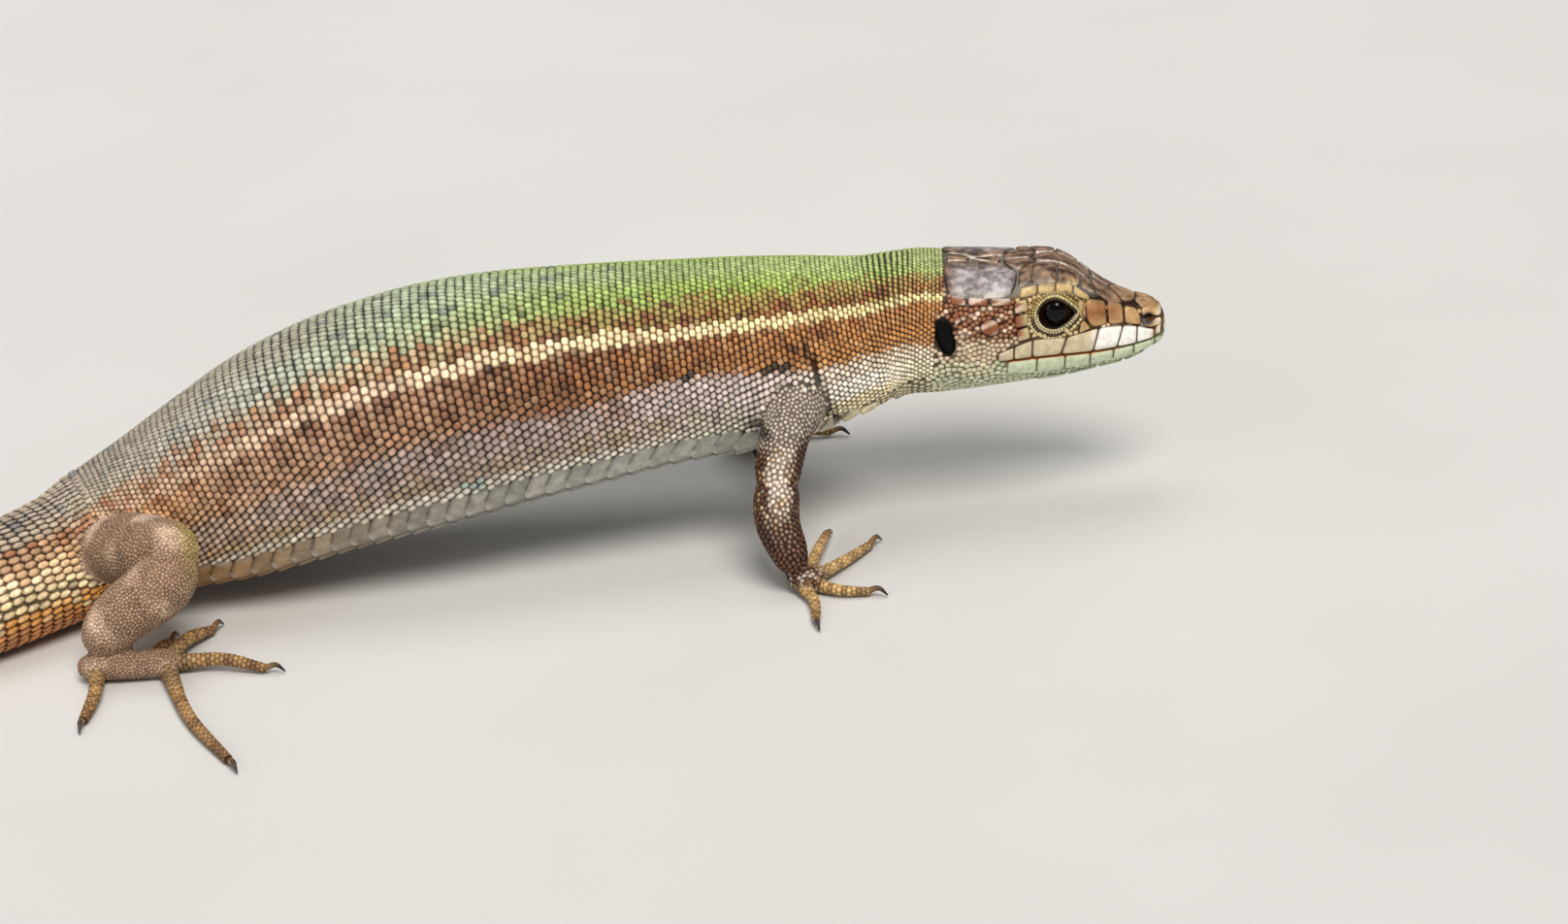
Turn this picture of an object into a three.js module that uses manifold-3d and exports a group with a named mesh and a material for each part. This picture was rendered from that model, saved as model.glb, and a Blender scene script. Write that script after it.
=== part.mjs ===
// A wall lizard, a plump adult female, standing still on a flat floor: a life-size museum model.
// Millimetres, +Z up. The snout points to +X, the right side faces -Y, and the floor is Z = 0.
// The whole animal is one long trunk, swept from the snout to the tip of the tail, with four legs.
// It is parted into its named lengths, and every part ends a hair's breadth short of the next.

import * as THREE from 'three';
import { mergeVertices } from 'three/addons/utils/BufferGeometryUtils.js';
import Module from 'manifold-3d';

const wasm = await Module();
wasm.setup();

// ---- driving dimensions -------------------------------------------------------------------

const GAP = 0.3;
const SMOOTHING = 0.012;
const RIGHT = 1;
const LEFT = -1;
const SIDES = [['right', RIGHT], ['left', LEFT]];
const degrees = THREE.MathUtils.degToRad;

// The head is drawn in its own frame: back is the distance behind the tip of the snout along the
// head's axis, side is the distance to the animal's right, and up is the height over the axis.
const SNOUT_TIP = new THREE.Vector3(25, -0.6, 10.9);
const HEAD_PITCH = degrees(6.5);
const HEAD_YAW = degrees(3);
const HEAD_MID = 0.2;
const SNOUT_ROUNDING = 1.3;

// back, roof over the axis, throat under the axis, half width, how square the roof is, and how
// much the sides close in from the lips to the roof
const HEAD_ROWS = [
  [0, 1.95, -1.1, 1.3, 2.4, 0.1],
  [1.2, 2.1, -1.4, 1.6, 2.6, 0.16],
  [2.4, 2.35, -1.95, 2.05, 2.9, 0.22],
  [3.7, 2.85, -2.3, 2.5, 3.2, 0.26],
  [5, 3.65, -2.6, 2.95, 3.5, 0.26],
  [6.2, 4.4, -2.9, 3.3, 3.8, 0.2],
  [7.4, 4.75, -3.1, 3.6, 4, 0.14],
  [8.8, 4.65, -3.35, 3.95, 4, 0.12],
  [10.4, 4.5, -3.6, 4.25, 3.8, 0.12],
  [12.4, 4.5, -3.95, 4.45, 3.4, 0.1],
  [14.2, 4.6, -4.25, 4.4, 2.9, 0.07],
  [16, 4.7, -4.45, 4.35, 2.5, 0.03],
];

// the spine behind the head: x, y, height of the axis, half height, half width
const BODY_ROWS = [
  [6.4, 0, 12.7, 4.75, 4.7],
  [3, 0, 12.35, 5.4, 5.5],
  [-1, 0, 12.05, 5.95, 6.3],
  [-6.2, 0, 12.05, 6.2, 6.9],
  [-11.5, 0, 11.8, 6.7, 7.4],
  [-16.5, 0, 11.5, 7.1, 7.9],
  [-21.8, -0.2, 10.9, 7.4, 8.2],
  [-27, -0.4, 10, 7.25, 8],
  [-32.1, -0.8, 8.65, 6.8, 7.4],
  [-36.6, -1.2, 7.1, 6, 6.5],
  [-40.9, -1.8, 5.9, 4.95, 5.4],
  [-44, -2.6, 5, 4.35, 4.8],
];
const ROOF_POWER_BODY = 2.15;
const BELLY_POWER = 2.3;

// the tail lies on the floor in one slow S behind the vent
const VENT = new THREE.Vector2(-46.3, -3.6);
const TAIL_LENGTH = 125;
const TAIL_TIP_RADIUS = 0.35;
const TAIL_STEM_RADIUS = 2.65;
const TAIL_ROOT_SWELLING = 0.98;
const TAIL_ROOT_REACH = 14;
const TAIL_SWING = degrees(33);
const TAIL_HALF_WAVE = 92;
const TAIL_ROW_STEP = 5;
const TAIL_LIFT = 0.45;
const TAIL_LIFT_REACH = 7;
const TAIL_FLAT = 0.1;

// where the trunk is parted, measured along it from the snout
const NECK_AT = 16.2;
const TORSO_AT = 20.6;
const HIPS_AT = 61.5;
const TAIL_AT = [73, 96, 124, 158];
const TAIL_AROUND = [18, 14, 12, 9];
const TAIL_WHORLS = [10, 11, 12, 12];
const WHORL_RISE = 0.13;
const WHORL_SLOPE = 0.86;

const EYE = { back: 7.15, side: 1.85, up: 2.15, radius: 1.3, wide: 1.15, tall: 0.98 };
const LID = { radius: 1.88, socket: 1.6 };
const ORBIT_DEPTH = 1.6;
const EAR = { back: 14.1, up: 0.85, side: 4.6, wide: 0.75, tall: 1.25, deep: 0.95, drum: 0.32 };
const NOSTRIL = { back: 1.1, up: 1.15, side: 1.25, radius: 0.28 };
const MOUTH = { corner: 10.9, up: -0.62, drop: 0.03, slit: 0.22, deep: 0.55 };

// The shields of the crown, each outline in back and side: first those across the midline, given by
// their right half from the front to the back, then those of the right side, which repeat mirrored.
const MIDDLE_SHIELDS = {
  frontonasal: [[1.9, 0], [2.05, 0.75], [2.75, 1.2], [3.5, 0.45], [3.7, 0]],
  frontal: [[4.9, 0], [5, 0.85], [6.5, 0.75], [8.1, 0.7], [8.75, 0]],
  interparietal: [[10.5, 0], [10.8, 0.55], [12.4, 0]],
  occipital: [[12.5, 0], [12.8, 0.45], [13.8, 0.6], [13.9, 0]],
};
const PAIRED_SHIELDS = {
  supranasal: [[0.75, 0], [1.9, 0], [2.05, 0.75], [1.6, 1.15], [0.95, 0.8]],
  prefrontal: [[3.7, 0], [4.85, 0], [4.95, 0.9], [4.5, 1.6], [3.3, 1.55], [2.75, 1.2], [3.5, 0.45]],
  supraocular_1: [[5, 0.95], [5.5, 1], [5.4, 1.85], [4.7, 1.6]],
  supraocular_2: [[5.55, 0.9], [7.05, 0.85], [7.05, 2.45], [6.2, 2.3], [5.45, 1.95]],
  supraocular_3: [[7.1, 0.85], [8.45, 0.85], [8.75, 2.4], [8, 2.5], [7.1, 2.5]],
  supraocular_4: [[8.6, 1.05], [9.5, 1.7], [9.5, 2.25], [8.9, 2.3]],
  frontoparietal: [[8.8, 0], [10.45, 0], [10.4, 0.6], [9.95, 1.5], [9.45, 1.7], [8.5, 0.95], [8.3, 0.7]],
  parietal: [[10.45, 0.65], [10.85, 0.62], [12.45, 0.1], [12.7, 0.5], [13.95, 0.65], [14.1, 2.4],
    [13.6, 3.5], [12, 3.65], [10.2, 3.35], [9.6, 2.8], [9.6, 1.8], [10, 1.55]],
};
// the plates of the lips and the cheek in back and up, from bounds that neighbours share
const UPPER_LIP = { bounds: [0.95, 1.9, 2.9, 4.3, 6.2, 8.8, 10.3], top: [0.5, 0.6, 0.7, 0.85, 0.8, 0.6, 0] };
const LOWER_LIP = { bounds: [0.9, 2.1, 3.5, 5.1, 6.9, 8.8, 10.4], drop: [0.5, 0.75, 0.95, 1.1, 1.15, 1.1, 0.8] };
const CHEEK_PLATES = {
  postnasal: [[1.75, 0.75], [2.85, 0.8], [2.75, 1.9], [1.9, 1.6]],
  loreal: [[3, 0.9], [4.3, 1], [5.2, 1.1], [5.2, 2.4], [3.9, 2.5], [2.9, 2]],
};
// the chin shields under the jaw, in back and side
const CHIN_SHIELDS = {
  chin_1: [[1.3, 0.05], [2.6, 0.05], [2.5, 1], [1.5, 0.8]],
  chin_2: [[2.7, 0.05], [4.3, 0.05], [4.2, 1.6], [2.7, 1.1]],
  chin_3: [[4.4, 0.05], [5.9, 0.5], [6.4, 2.2], [4.4, 1.7]],
  chin_4: [[6.1, 0.8], [8.5, 1.9], [8.5, 3], [6.6, 2.4]],
};
const PLATE = { rise: 0.15, rim: 0.12, root: 0.3, seam: 0.08, table: 0.5 };

const COLOURS = {
  head: 0x8a7a5c, neck: 0x8f9a5a, torso: 0x93a06a, hips: 0x8b8878, tail: 0x867d6c,
  leg: 0x8d7a66, toe: 0xb08a55, eye: 0x2a1a12, ear: 0x30261f,
};

// ---- closed solids ------------------------------------------------------------------------

function solid(geometry) {
  const bare = geometry.index ? geometry.toNonIndexed() : geometry;
  bare.deleteAttribute('normal');
  bare.deleteAttribute('uv');
  const merged = mergeVertices(bare, 1e-4);
  return new wasm.Manifold(new wasm.Mesh({
    numProp: 3,
    vertProperties: new Float32Array(merged.attributes.position.array),
    triVerts: new Uint32Array(merged.index.array),
  }));
}

function largest(body) {
  const pieces = body.decompose();
  return pieces.reduce((best, piece) => (piece.volume() > best.volume() ? piece : best));
}

function geometryOf(body) {
  const { numProp, vertProperties, triVerts } = body.getMesh();
  const geometry = new THREE.BufferGeometry();
  const positions = new Float32Array((vertProperties.length / numProp) * 3);
  for (let i = 0; i < positions.length / 3; i += 1) {
    positions.set(vertProperties.subarray(i * numProp, i * numProp + 3), i * 3);
  }
  geometry.setAttribute('position', new THREE.BufferAttribute(positions, 3));
  geometry.setIndex(Array.from(triVerts));
  geometry.computeVertexNormals();
  return geometry;
}

// A closed cylinder whose every point is moved by place(along 0..1, turn, reach 0..1).
function sweep(place, around, steps) {
  const geometry = new THREE.CylinderGeometry(1, 1, 1, around, steps);
  const position = geometry.attributes.position;
  const point = new THREE.Vector3();
  for (let i = 0; i < position.count; i += 1) {
    point.fromBufferAttribute(position, i);
    const reach = Math.min(1, Math.round(Math.hypot(point.x, point.z) * 1e6) / 1e6);
    const turn = reach === 0 ? 0 : Math.atan2(point.x, point.z);
    place(0.5 - point.y, turn, reach, point);
    position.setXYZ(i, point.x, point.y, point.z);
  }
  return solid(geometry);
}

// ---- smooth tables ------------------------------------------------------------------------

// Reads a table of rows at any key, without overshooting between the rows.
function reader(keys, rows) {
  const slopes = rows.map((row, i) => row.map((value, c) => {
    if (i === 0 || i === rows.length - 1) return 0;
    const before = (value - rows[i - 1][c]) / (keys[i] - keys[i - 1]);
    const after = (rows[i + 1][c] - value) / (keys[i + 1] - keys[i]);
    return before * after <= 0 ? 0 : (2 * before * after) / (before + after);
  }));
  return (at) => {
    let i = 0;
    while (i < keys.length - 2 && at > keys[i + 1]) i += 1;
    const span = keys[i + 1] - keys[i];
    const t = THREE.MathUtils.clamp((at - keys[i]) / span, 0, 1);
    const ease = t * t * (3 - 2 * t);
    return rows[i].map((start, c) => start * (1 - ease) + rows[i + 1][c] * ease
      + span * t * (1 - t) * ((1 - t) * slopes[i][c] - t * slopes[i + 1][c]));
  };
}

// ---- the trunk ----------------------------------------------------------------------------

const HEAD_AXIS = new THREE.Vector3(
  Math.cos(HEAD_PITCH) * Math.cos(HEAD_YAW),
  -Math.cos(HEAD_PITCH) * Math.sin(HEAD_YAW),
  -Math.sin(HEAD_PITCH),
);
const HEAD_SIDE = new THREE.Vector3().crossVectors(HEAD_AXIS, new THREE.Vector3(0, 0, 1)).normalize();
const HEAD_UP = new THREE.Vector3().crossVectors(HEAD_SIDE, HEAD_AXIS);

function headPoint(back, side, up) {
  return SNOUT_TIP.clone()
    .addScaledVector(HEAD_AXIS, -back)
    .addScaledVector(HEAD_SIDE, side)
    .addScaledVector(HEAD_UP, up);
}

function tailRadius(behind) {
  const left = Math.max(0, 1 - behind / TAIL_LENGTH);
  const root = TAIL_ROOT_SWELLING * Math.exp(-((behind / TAIL_ROOT_REACH) ** 2));
  return TAIL_TIP_RADIUS + TAIL_STEM_RADIUS * left ** 1.1 + root;
}

// Every row of the trunk: centre, heading and slope of the section, half width, height over and
// under the widest level, squareness of the roof and belly, and how much the sides close in.
function trunkRows() {
  const rows = HEAD_ROWS.map(([back, roof, throat, half, power, closing]) => {
    const centre = headPoint(back, 0, HEAD_MID);
    return [...centre.toArray(), HEAD_YAW, HEAD_PITCH, half, roof - HEAD_MID, HEAD_MID - throat,
      power, BELLY_POWER, closing];
  });
  const spine = BODY_ROWS.map(([x, y, z, high, half]) => ({ at: new THREE.Vector3(x, y, z), high, half }));
  const cursor = VENT.clone();
  for (let behind = 0; behind <= TAIL_LENGTH; behind += TAIL_ROW_STEP) {
    const radius = tailRadius(behind);
    const lift = TAIL_LIFT * Math.exp(-((behind / TAIL_LIFT_REACH) ** 2)) - TAIL_FLAT;
    spine.push({ at: new THREE.Vector3(cursor.x, cursor.y, radius + lift), high: radius, half: radius * 1.04 });
    const swing = TAIL_SWING * Math.cos((Math.PI * (behind + TAIL_ROW_STEP / 2)) / TAIL_HALF_WAVE);
    cursor.x -= TAIL_ROW_STEP * Math.cos(swing);
    cursor.y -= TAIL_ROW_STEP * Math.sin(swing);
  }
  spine.forEach(({ at, high, half }, i) => {
    const ahead = spine[Math.max(0, i - 1)].at;
    const behind = spine[Math.min(spine.length - 1, i + 1)].at;
    const run = ahead.clone().sub(behind).normalize();
    rows.push([...at.toArray(), Math.atan2(-run.y, run.x), Math.asin(-run.z), half, high, high,
      ROOF_POWER_BODY, BELLY_POWER, 0]);
  });
  return rows;
}

const TRUNK_ROWS = trunkRows();
const TRUNK_KEYS = TRUNK_ROWS.reduce((keys, row, i) => {
  const step = i === 0 ? 0 : Math.hypot(...[0, 1, 2].map((c) => row[c] - TRUNK_ROWS[i - 1][c]));
  keys.push((keys[i - 1] ?? 0) + step);
  return keys;
}, []);
const readTrunk = reader(TRUNK_KEYS, TRUNK_ROWS);
const TRUNK_LENGTH = TRUNK_KEYS[TRUNK_KEYS.length - 1];

// The outline of the trunk's section. turn is 0 along the ridge of the back and grows to the right,
// wide is the distance to the right of the spine, and high the height over the widest level.
function section(row, at, turn, grow) {
  const [, , , , , half, over, under, roofPower, bellyPower, closing] = row;
  const sine = Math.sin(turn);
  const cosine = Math.cos(turn);
  const power = cosine > 0 ? roofPower : bellyPower;
  const nose = Math.min(1, Math.max(at, 0) / SNOUT_ROUNDING);
  const tip = Math.min(1, Math.max(TRUNK_LENGTH - at, 0) / TAIL_TIP_RADIUS);
  const rounding = Math.sqrt(1 - (1 - nose) ** 2) * Math.sqrt(1 - (1 - tip) ** 2);
  const rise = Math.sign(cosine) * Math.abs(cosine) ** (2 / power);
  const spread = Math.sign(sine) * Math.abs(sine) ** (2 / power);
  const high = ((cosine > 0 ? over : under) * rounding + grow) * rise;
  const wide = (half * rounding + grow) * spread * (1 - closing * Math.max(0, rise) ** 1.4);
  return { wide, high };
}

function trunkPoint(at, turn, reach = 1, grow = 0, point = new THREE.Vector3()) {
  const row = readTrunk(at);
  const [x, y, z, yaw, pitch] = row;
  const { wide, high } = section(row, at, turn, grow);
  const sideX = -Math.sin(yaw);
  const sideY = -Math.cos(yaw);
  return point.set(
    x + reach * (wide * sideX + high * Math.sin(pitch) * Math.cos(yaw)),
    y + reach * (wide * sideY - high * Math.sin(pitch) * Math.sin(yaw)),
    z + reach * high * Math.cos(pitch),
  );
}

function trunkLength(from, to, around, steps, { grow = 0, crowd = 1 } = {}) {
  return sweep((along, turn, reach, point) => {
    trunkPoint(from + (to - from) * along ** crowd, turn, reach, grow, point);
  }, around, steps);
}

// A length of the tail in whorls: each ring of scales rises a little towards its free back edge.
function whorledLength(from, to, around, whorls) {
  const steps = whorls * 2 - 1;
  return sweep((along, turn, reach, point) => {
    const ring = Math.round(along * steps);
    const raised = ring % 2 === 1;
    const whorl = Math.floor(ring / 2) + (raised ? WHORL_SLOPE : 0);
    const at = from + ((to - from) * whorl) / (whorls - 1 + WHORL_SLOPE);
    trunkPoint(at, turn, reach, raised ? WHORL_RISE : 0, point);
  }, around, steps);
}

// ---- limbs --------------------------------------------------------------------------------

// A rounded limb along a smooth path. radii are read evenly along it, flat is height over width.
function limb({ path, radii, flat = 1, up = new THREE.Vector3(0, 0, 1), around = 10, steps = 7, grow = 0 }) {
  const points = path.map((p) => p.clone());
  const last = points.length - 1;
  points[0].addScaledVector(points[0].clone().sub(points[1]).normalize(), grow);
  points[last].addScaledVector(points[last].clone().sub(points[last - 1]).normalize(), grow);
  const curve = new THREE.CatmullRomCurve3(points, false, 'centripetal');
  const length = curve.getLength();
  const readRadius = reader(radii.map((_, i) => i / (radii.length - 1)), radii.map((r) => [r]));
  return sweep((along, turn, reach, point) => {
    const t = (1 - Math.cos(Math.PI * along)) / 2;
    const eased = along < 0.5 ? Math.max(t, 0.004) : Math.min(t, 0.996);
    const centre = curve.getPointAt(eased);
    const run = curve.getTangentAt(eased);
    const side = new THREE.Vector3().crossVectors(run, up).normalize();
    const over = new THREE.Vector3().crossVectors(side, run);
    const radius = readRadius(eased)[0] + grow;
    const ends = Math.min(1, (Math.min(eased, 1 - eased) * length) / radius);
    const size = radius * Math.sqrt(1 - (1 - ends) ** 2) * reach;
    point.copy(centre)
      .addScaledVector(side, -size * Math.sin(turn))
      .addScaledVector(over, size * Math.cos(turn) * flat);
  }, around, steps);
}

const P = (x, y, z) => new THREE.Vector3(x, y, z);
const ACROSS = P(1, 0, 0);

// Each leg from the body outwards. The lower leg starts inside the end of the upper one. A toe bows
// to the right of its line by bow, and rises by arch.
const LEGS = {
  fore_right: {
    upper: { path: [P(1.6, -3.6, 10.4), P(0.2, -7, 9), P(-0.8, -9.3, 6.2)], radii: [2.1, 1.65, 1.5] },
    lower: { path: [P(-0.8, -10, 4.6), P(-0.3, -10.7, 2.8), P(0.1, -10.9, 1.3)], radii: [1.45, 1.5, 1.35, 1.05] },
    foot: { path: [P(-0.6, -10.9, 0.95), P(0.6, -10.9, 0.75), P(1.8, -10.9, 0.65)], radii: [1, 1.35, 1.15], flat: 0.6 },
    toes: [
      { root: P(0, -10.5, 0.7), tip: P(-0.8, -7, 0.35), bow: 0, arch: 0.15 },
      { root: P(0.7, -10.4, 0.75), tip: P(2.6, -3.2, 0.8), bow: 0, arch: 0.55 },
      { root: P(1.1, -10.6, 0.7), tip: P(5.7, -4.9, 0.35), bow: 0.2, arch: 0.15 },
      { root: P(1.1, -11.2, 0.55), tip: P(5.6, -13.2, 0.35), bow: 0.45, arch: 0.05 },
      { root: P(0.3, -11.3, 0.55), tip: P(1.1, -17.2, 0.35), bow: -0.35, arch: 0.1 },
    ],
  },
  fore_left: {
    upper: { path: [P(1.6, 3.6, 10.4), P(0, 7.6, 9), P(-2.4, 10.4, 6.8)], radii: [2.1, 1.65, 1.5] },
    lower: { path: [P(-2.9, 11.6, 4.9), P(-3.1, 12.6, 3), P(-2.8, 13.2, 1.4)], radii: [1.45, 1.5, 1.35, 1.05] },
    foot: { path: [P(-3, 13.2, 0.95), P(-1.9, 13.6, 0.75), P(-0.8, 14, 0.65)], radii: [1, 1.35, 1.15], flat: 0.6 },
    toes: [
      { root: P(-2.4, 13.1, 0.7), tip: P(-1.8, 9.9, 0.35), bow: 0, arch: 0.2 },
      { root: P(-1.7, 13.2, 0.7), tip: P(1.2, 9.4, 0.35), bow: 0.2, arch: 0.3 },
      { root: P(-1.4, 13.6, 0.7), tip: P(4.6, 12.2, 0.35), bow: 0.3, arch: 0.3 },
      { root: P(-1.4, 14.1, 0.7), tip: P(4, 16.8, 0.35), bow: -0.3, arch: 0.3 },
      { root: P(-2.1, 14.1, 0.7), tip: P(-1, 19, 0.35), bow: 0.3, arch: 0.2 },
    ],
  },
  hind_right: {
    upper: { path: [P(-44, -4.4, 5), P(-41, -8.4, 6.6), P(-37.3, -11.9, 7.5)], radii: [2.2, 2.3, 1.95] },
    lower: { path: [P(-38.9, -12.2, 6), P(-41.8, -12.5, 4.1), P(-44.3, -12.7, 1.9)], radii: [1.9, 2.05, 1.9, 1.45] },
    foot: { path: [P(-45.2, -12.8, 0.95), P(-42, -13.2, 0.9), P(-38.6, -13.3, 0.75)],
      radii: [1.2, 1.25, 1.25], flat: 0.7 },
    toes: [
      { root: P(-40.6, -12.8, 0.7), tip: P(-39.2, -8.2, 0.35), bow: 0, arch: 0.3 },
      { root: P(-39.6, -12.8, 0.7), tip: P(-36.4, -7.2, 0.35), bow: -0.2, arch: 0.45 },
      { root: P(-39.2, -13.2, 0.7), tip: P(-32.1, -15, 0.35), bow: -0.3, arch: 0.4 },
      { root: P(-39.5, -13.8, 0.6), tip: P(-34.4, -28.2, 0.35), bow: 0.6, arch: 0.05 },
      { root: P(-43.9, -13.2, 0.7), tip: P(-44.5, -20.7, 0.35), bow: -0.3, arch: 0.2 },
    ],
  },
  hind_left: {
    upper: { path: [P(-43.6, -0.6, 5.2), P(-40, 4.8, 6.6), P(-36.1, 9.4, 7.2)], radii: [2.2, 2.3, 1.95] },
    lower: { path: [P(-37.4, 10.7, 6), P(-39.8, 12.4, 4.1), P(-42.2, 13.3, 1.9)], radii: [1.9, 2.05, 1.9, 1.45] },
    foot: { path: [P(-43, 13.4, 0.95), P(-40, 14, 0.9), P(-36.6, 14.3, 0.75)],
      radii: [1.2, 1.25, 1.25], flat: 0.7 },
    toes: [
      { root: P(-38.6, 13.8, 0.7), tip: P(-36.8, 9.7, 0.35), bow: 0, arch: 0.3 },
      { root: P(-37.6, 13.8, 0.7), tip: P(-32, 10.3, 0.35), bow: 0.2, arch: 0.4 },
      { root: P(-37.2, 14.2, 0.7), tip: P(-27.4, 13.8, 0.35), bow: 0.3, arch: 0.5 },
      { root: P(-37.5, 14.7, 0.7), tip: P(-25.2, 20.8, 0.35), bow: 0.6, arch: 0.4 },
      { root: P(-41.7, 13.9, 0.7), tip: P(-40.2, 21.3, 0.35), bow: 0.3, arch: 0.2 },
    ],
  },
};
const INTO_JOINT = 0.9;
const TOE_RADII = { fore: [0.46, 0.34, 0.3, 0.25], hind: [0.52, 0.4, 0.36, 0.28] };
const TOE_MIDDLE = 0.45;
const CLAW = { length: 1.15, radii: [0.21, 0.17, 0.06], crest: 0.62, point: 0.16 };

// Where the lower leg starts: within the round end of the upper one.
function insideEnd({ path, radii }) {
  const [before, end] = path.slice(-2);
  const back = before.clone().sub(end).normalize();
  return end.clone().addScaledVector(back, radii[radii.length - 1] * INTO_JOINT);
}

// A toe runs from the foot to the root of its claw, and the claw hooks down to the floor.
function toe({ root, tip, bow, arch }, radii, grow = 0) {
  const ahead = tip.clone().sub(root).setZ(0).normalize();
  const right = P(ahead.y, -ahead.x, 0);
  const end = tip.clone().addScaledVector(ahead, -CLAW.length);
  const crest = root.clone().lerp(end, 0.5).addScaledVector(right, bow).setZ(TOE_MIDDLE + arch);
  const flesh = limb({ path: [root, crest, end], radii, around: 7, steps: 5, grow });
  if (grow > 0) return flesh;
  const claw = limb({
    path: [
      end.clone().addScaledVector(ahead, -CLAW.length / 4),
      end.clone().addScaledVector(ahead, CLAW.length / 2).setZ(CLAW.crest),
      tip.clone().setZ(CLAW.point),
    ],
    radii: CLAW.radii, around: 5, steps: 4,
  });
  return flesh.add(claw);
}

// ---- the head's own forms -----------------------------------------------------------------

// Stretches a ball along the head's own directions and sets it at a place in the head.
function headBall({ back, up }, side, [deep, wide, tall], across = 14, rings = 9) {
  const frame = new THREE.Matrix4().makeBasis(
    HEAD_AXIS.clone().multiplyScalar(deep),
    HEAD_SIDE.clone().multiplyScalar(-wide),
    HEAD_UP.clone().multiplyScalar(tall),
  );
  frame.setPosition(headPoint(back, side, up));
  return solid(new THREE.SphereGeometry(1, across, rings).applyMatrix4(frame));
}

const round = (radius) => [radius, radius, radius];

// Halves the range until the section's measure at that turn meets the target.
function findTurn(low, high, isPast) {
  let [from, to] = [low, high];
  for (let i = 0; i < 24; i += 1) {
    const middle = (from + to) / 2;
    if (isPast(middle)) to = middle;
    else from = middle;
  }
  return (from + to) / 2;
}

// Three ways over the head's surface, each lifted off it by lift: over the crown and under the jaw
// by back and side, and along the cheek by back and up.
function crown(back, side, lift) {
  const row = readTrunk(back);
  const turn = findTurn(0, Math.PI / 2, (t) => section(row, back, t, 0).wide > Math.abs(side));
  return trunkPoint(back, Math.sign(side) * turn, 1, lift);
}

function underJaw(back, side, lift) {
  const row = readTrunk(back);
  const turn = findTurn(Math.PI / 2, Math.PI, (t) => section(row, back, t, 0).wide < Math.abs(side));
  return trunkPoint(back, Math.sign(side) * turn, 1, lift);
}

const cheek = (hand) => (back, up, lift) => {
  const row = readTrunk(back);
  const turn = findTurn(0, Math.PI, (t) => section(row, back, t, 0).high < up - HEAD_MID);
  return trunkPoint(back, hand * turn, 1, lift);
};

// A plate over a patch of the head, from its crown over the rim down to the sunk root. A broad plate
// has one more ring inside the rim, so that it follows the curve of the head.
function plate(outline, surface, broad = false) {
  const count = outline.length;
  const middle = [0, 1].map((c) => outline.reduce((sum, corner) => sum + corner[c], 0) / count);
  const spans = outline.map(([a, b]) => Math.hypot(a - middle[0], b - middle[1]));
  const shrink = 1 - PLATE.seam / (spans.reduce((sum, span) => sum + span, 0) / count);
  const lifts = broad ? [PLATE.rise, PLATE.rim, -PLATE.root] : [PLATE.rim, -PLATE.root];
  const steps = lifts.length - 1;
  const make = (corners) => sweep((along, turn, reach, point) => {
    const level = Math.round(along * steps);
    const lift = reach === 0 && level === 0 ? PLATE.rise : lifts[level];
    const corner = corners[(Math.round((turn / (2 * Math.PI)) * count) + count) % count];
    const keep = reach * shrink * (broad && level === 0 ? PLATE.table : 1);
    const [a, b] = [0, 1].map((c) => middle[c] + (corner[c] - middle[c]) * keep);
    point.copy(surface(a, b, lift));
  }, count, steps);
  const first = make(outline);
  return first.volume() > 0 ? first : make([...outline].reverse());
}

function mirrored(outline) {
  return outline.map(([back, side]) => [back, -side]);
}

function headPlates() {
  const plates = Object.values(MIDDLE_SHIELDS).map((half) => {
    const other = half.filter(([, side]) => side > 0).reverse();
    return plate([...half, ...mirrored(other)], crown, true);
  });
  for (const outline of Object.values(PAIRED_SHIELDS)) {
    plates.push(plate(outline, crown, true), plate(mirrored(outline), crown, true));
  }
  for (const outline of Object.values(CHIN_SHIELDS)) {
    plates.push(plate(outline, underJaw), plate(mirrored(outline), underJaw));
  }
  const mouthUp = (back) => MOUTH.up - MOUTH.drop * back;
  for (const [, hand] of SIDES) {
    for (let i = 0; i < UPPER_LIP.bounds.length - 1; i += 1) {
      const [front, back] = [UPPER_LIP.bounds[i], UPPER_LIP.bounds[i + 1]];
      const [frontTop, backTop] = [UPPER_LIP.top[i], UPPER_LIP.top[i + 1]];
      const edge = MOUTH.slit / 2;
      plates.push(plate([[front, mouthUp(front) + edge], [back, mouthUp(back) + edge],
        [back, backTop], [front, frontTop]], cheek(hand)));
    }
    for (let i = 0; i < LOWER_LIP.bounds.length - 1; i += 1) {
      const [front, back] = [LOWER_LIP.bounds[i], LOWER_LIP.bounds[i + 1]];
      const [frontTop, backTop] = [mouthUp(front) - MOUTH.slit / 2, mouthUp(back) - MOUTH.slit / 2];
      plates.push(plate([[front, frontTop], [back, backTop],
        [back, backTop - LOWER_LIP.drop[i + 1]], [front, frontTop - LOWER_LIP.drop[i]]], cheek(hand)));
    }
    for (const outline of Object.values(CHEEK_PLATES)) plates.push(plate(outline, cheek(hand)));
  }
  return plates;
}

// The slit of the mouth follows the lips round the snout to the corner behind the eye.
function mouthSlit() {
  const wider = 6;
  const cut = sweep((along, turn, reach, point) => {
    const back = (MOUTH.corner + 1) * along - 1;
    const up = MOUTH.up - MOUTH.drop * back + Math.cos(turn) * MOUTH.slit * 0.5 * reach;
    point.copy(headPoint(back, Math.sin(turn) * wider * reach, up));
  }, 4, 6);
  return cut.subtract(trunkLength(0, NECK_AT, 20, 9, { grow: -MOUTH.deep, crowd: 1.5 }));
}

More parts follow.
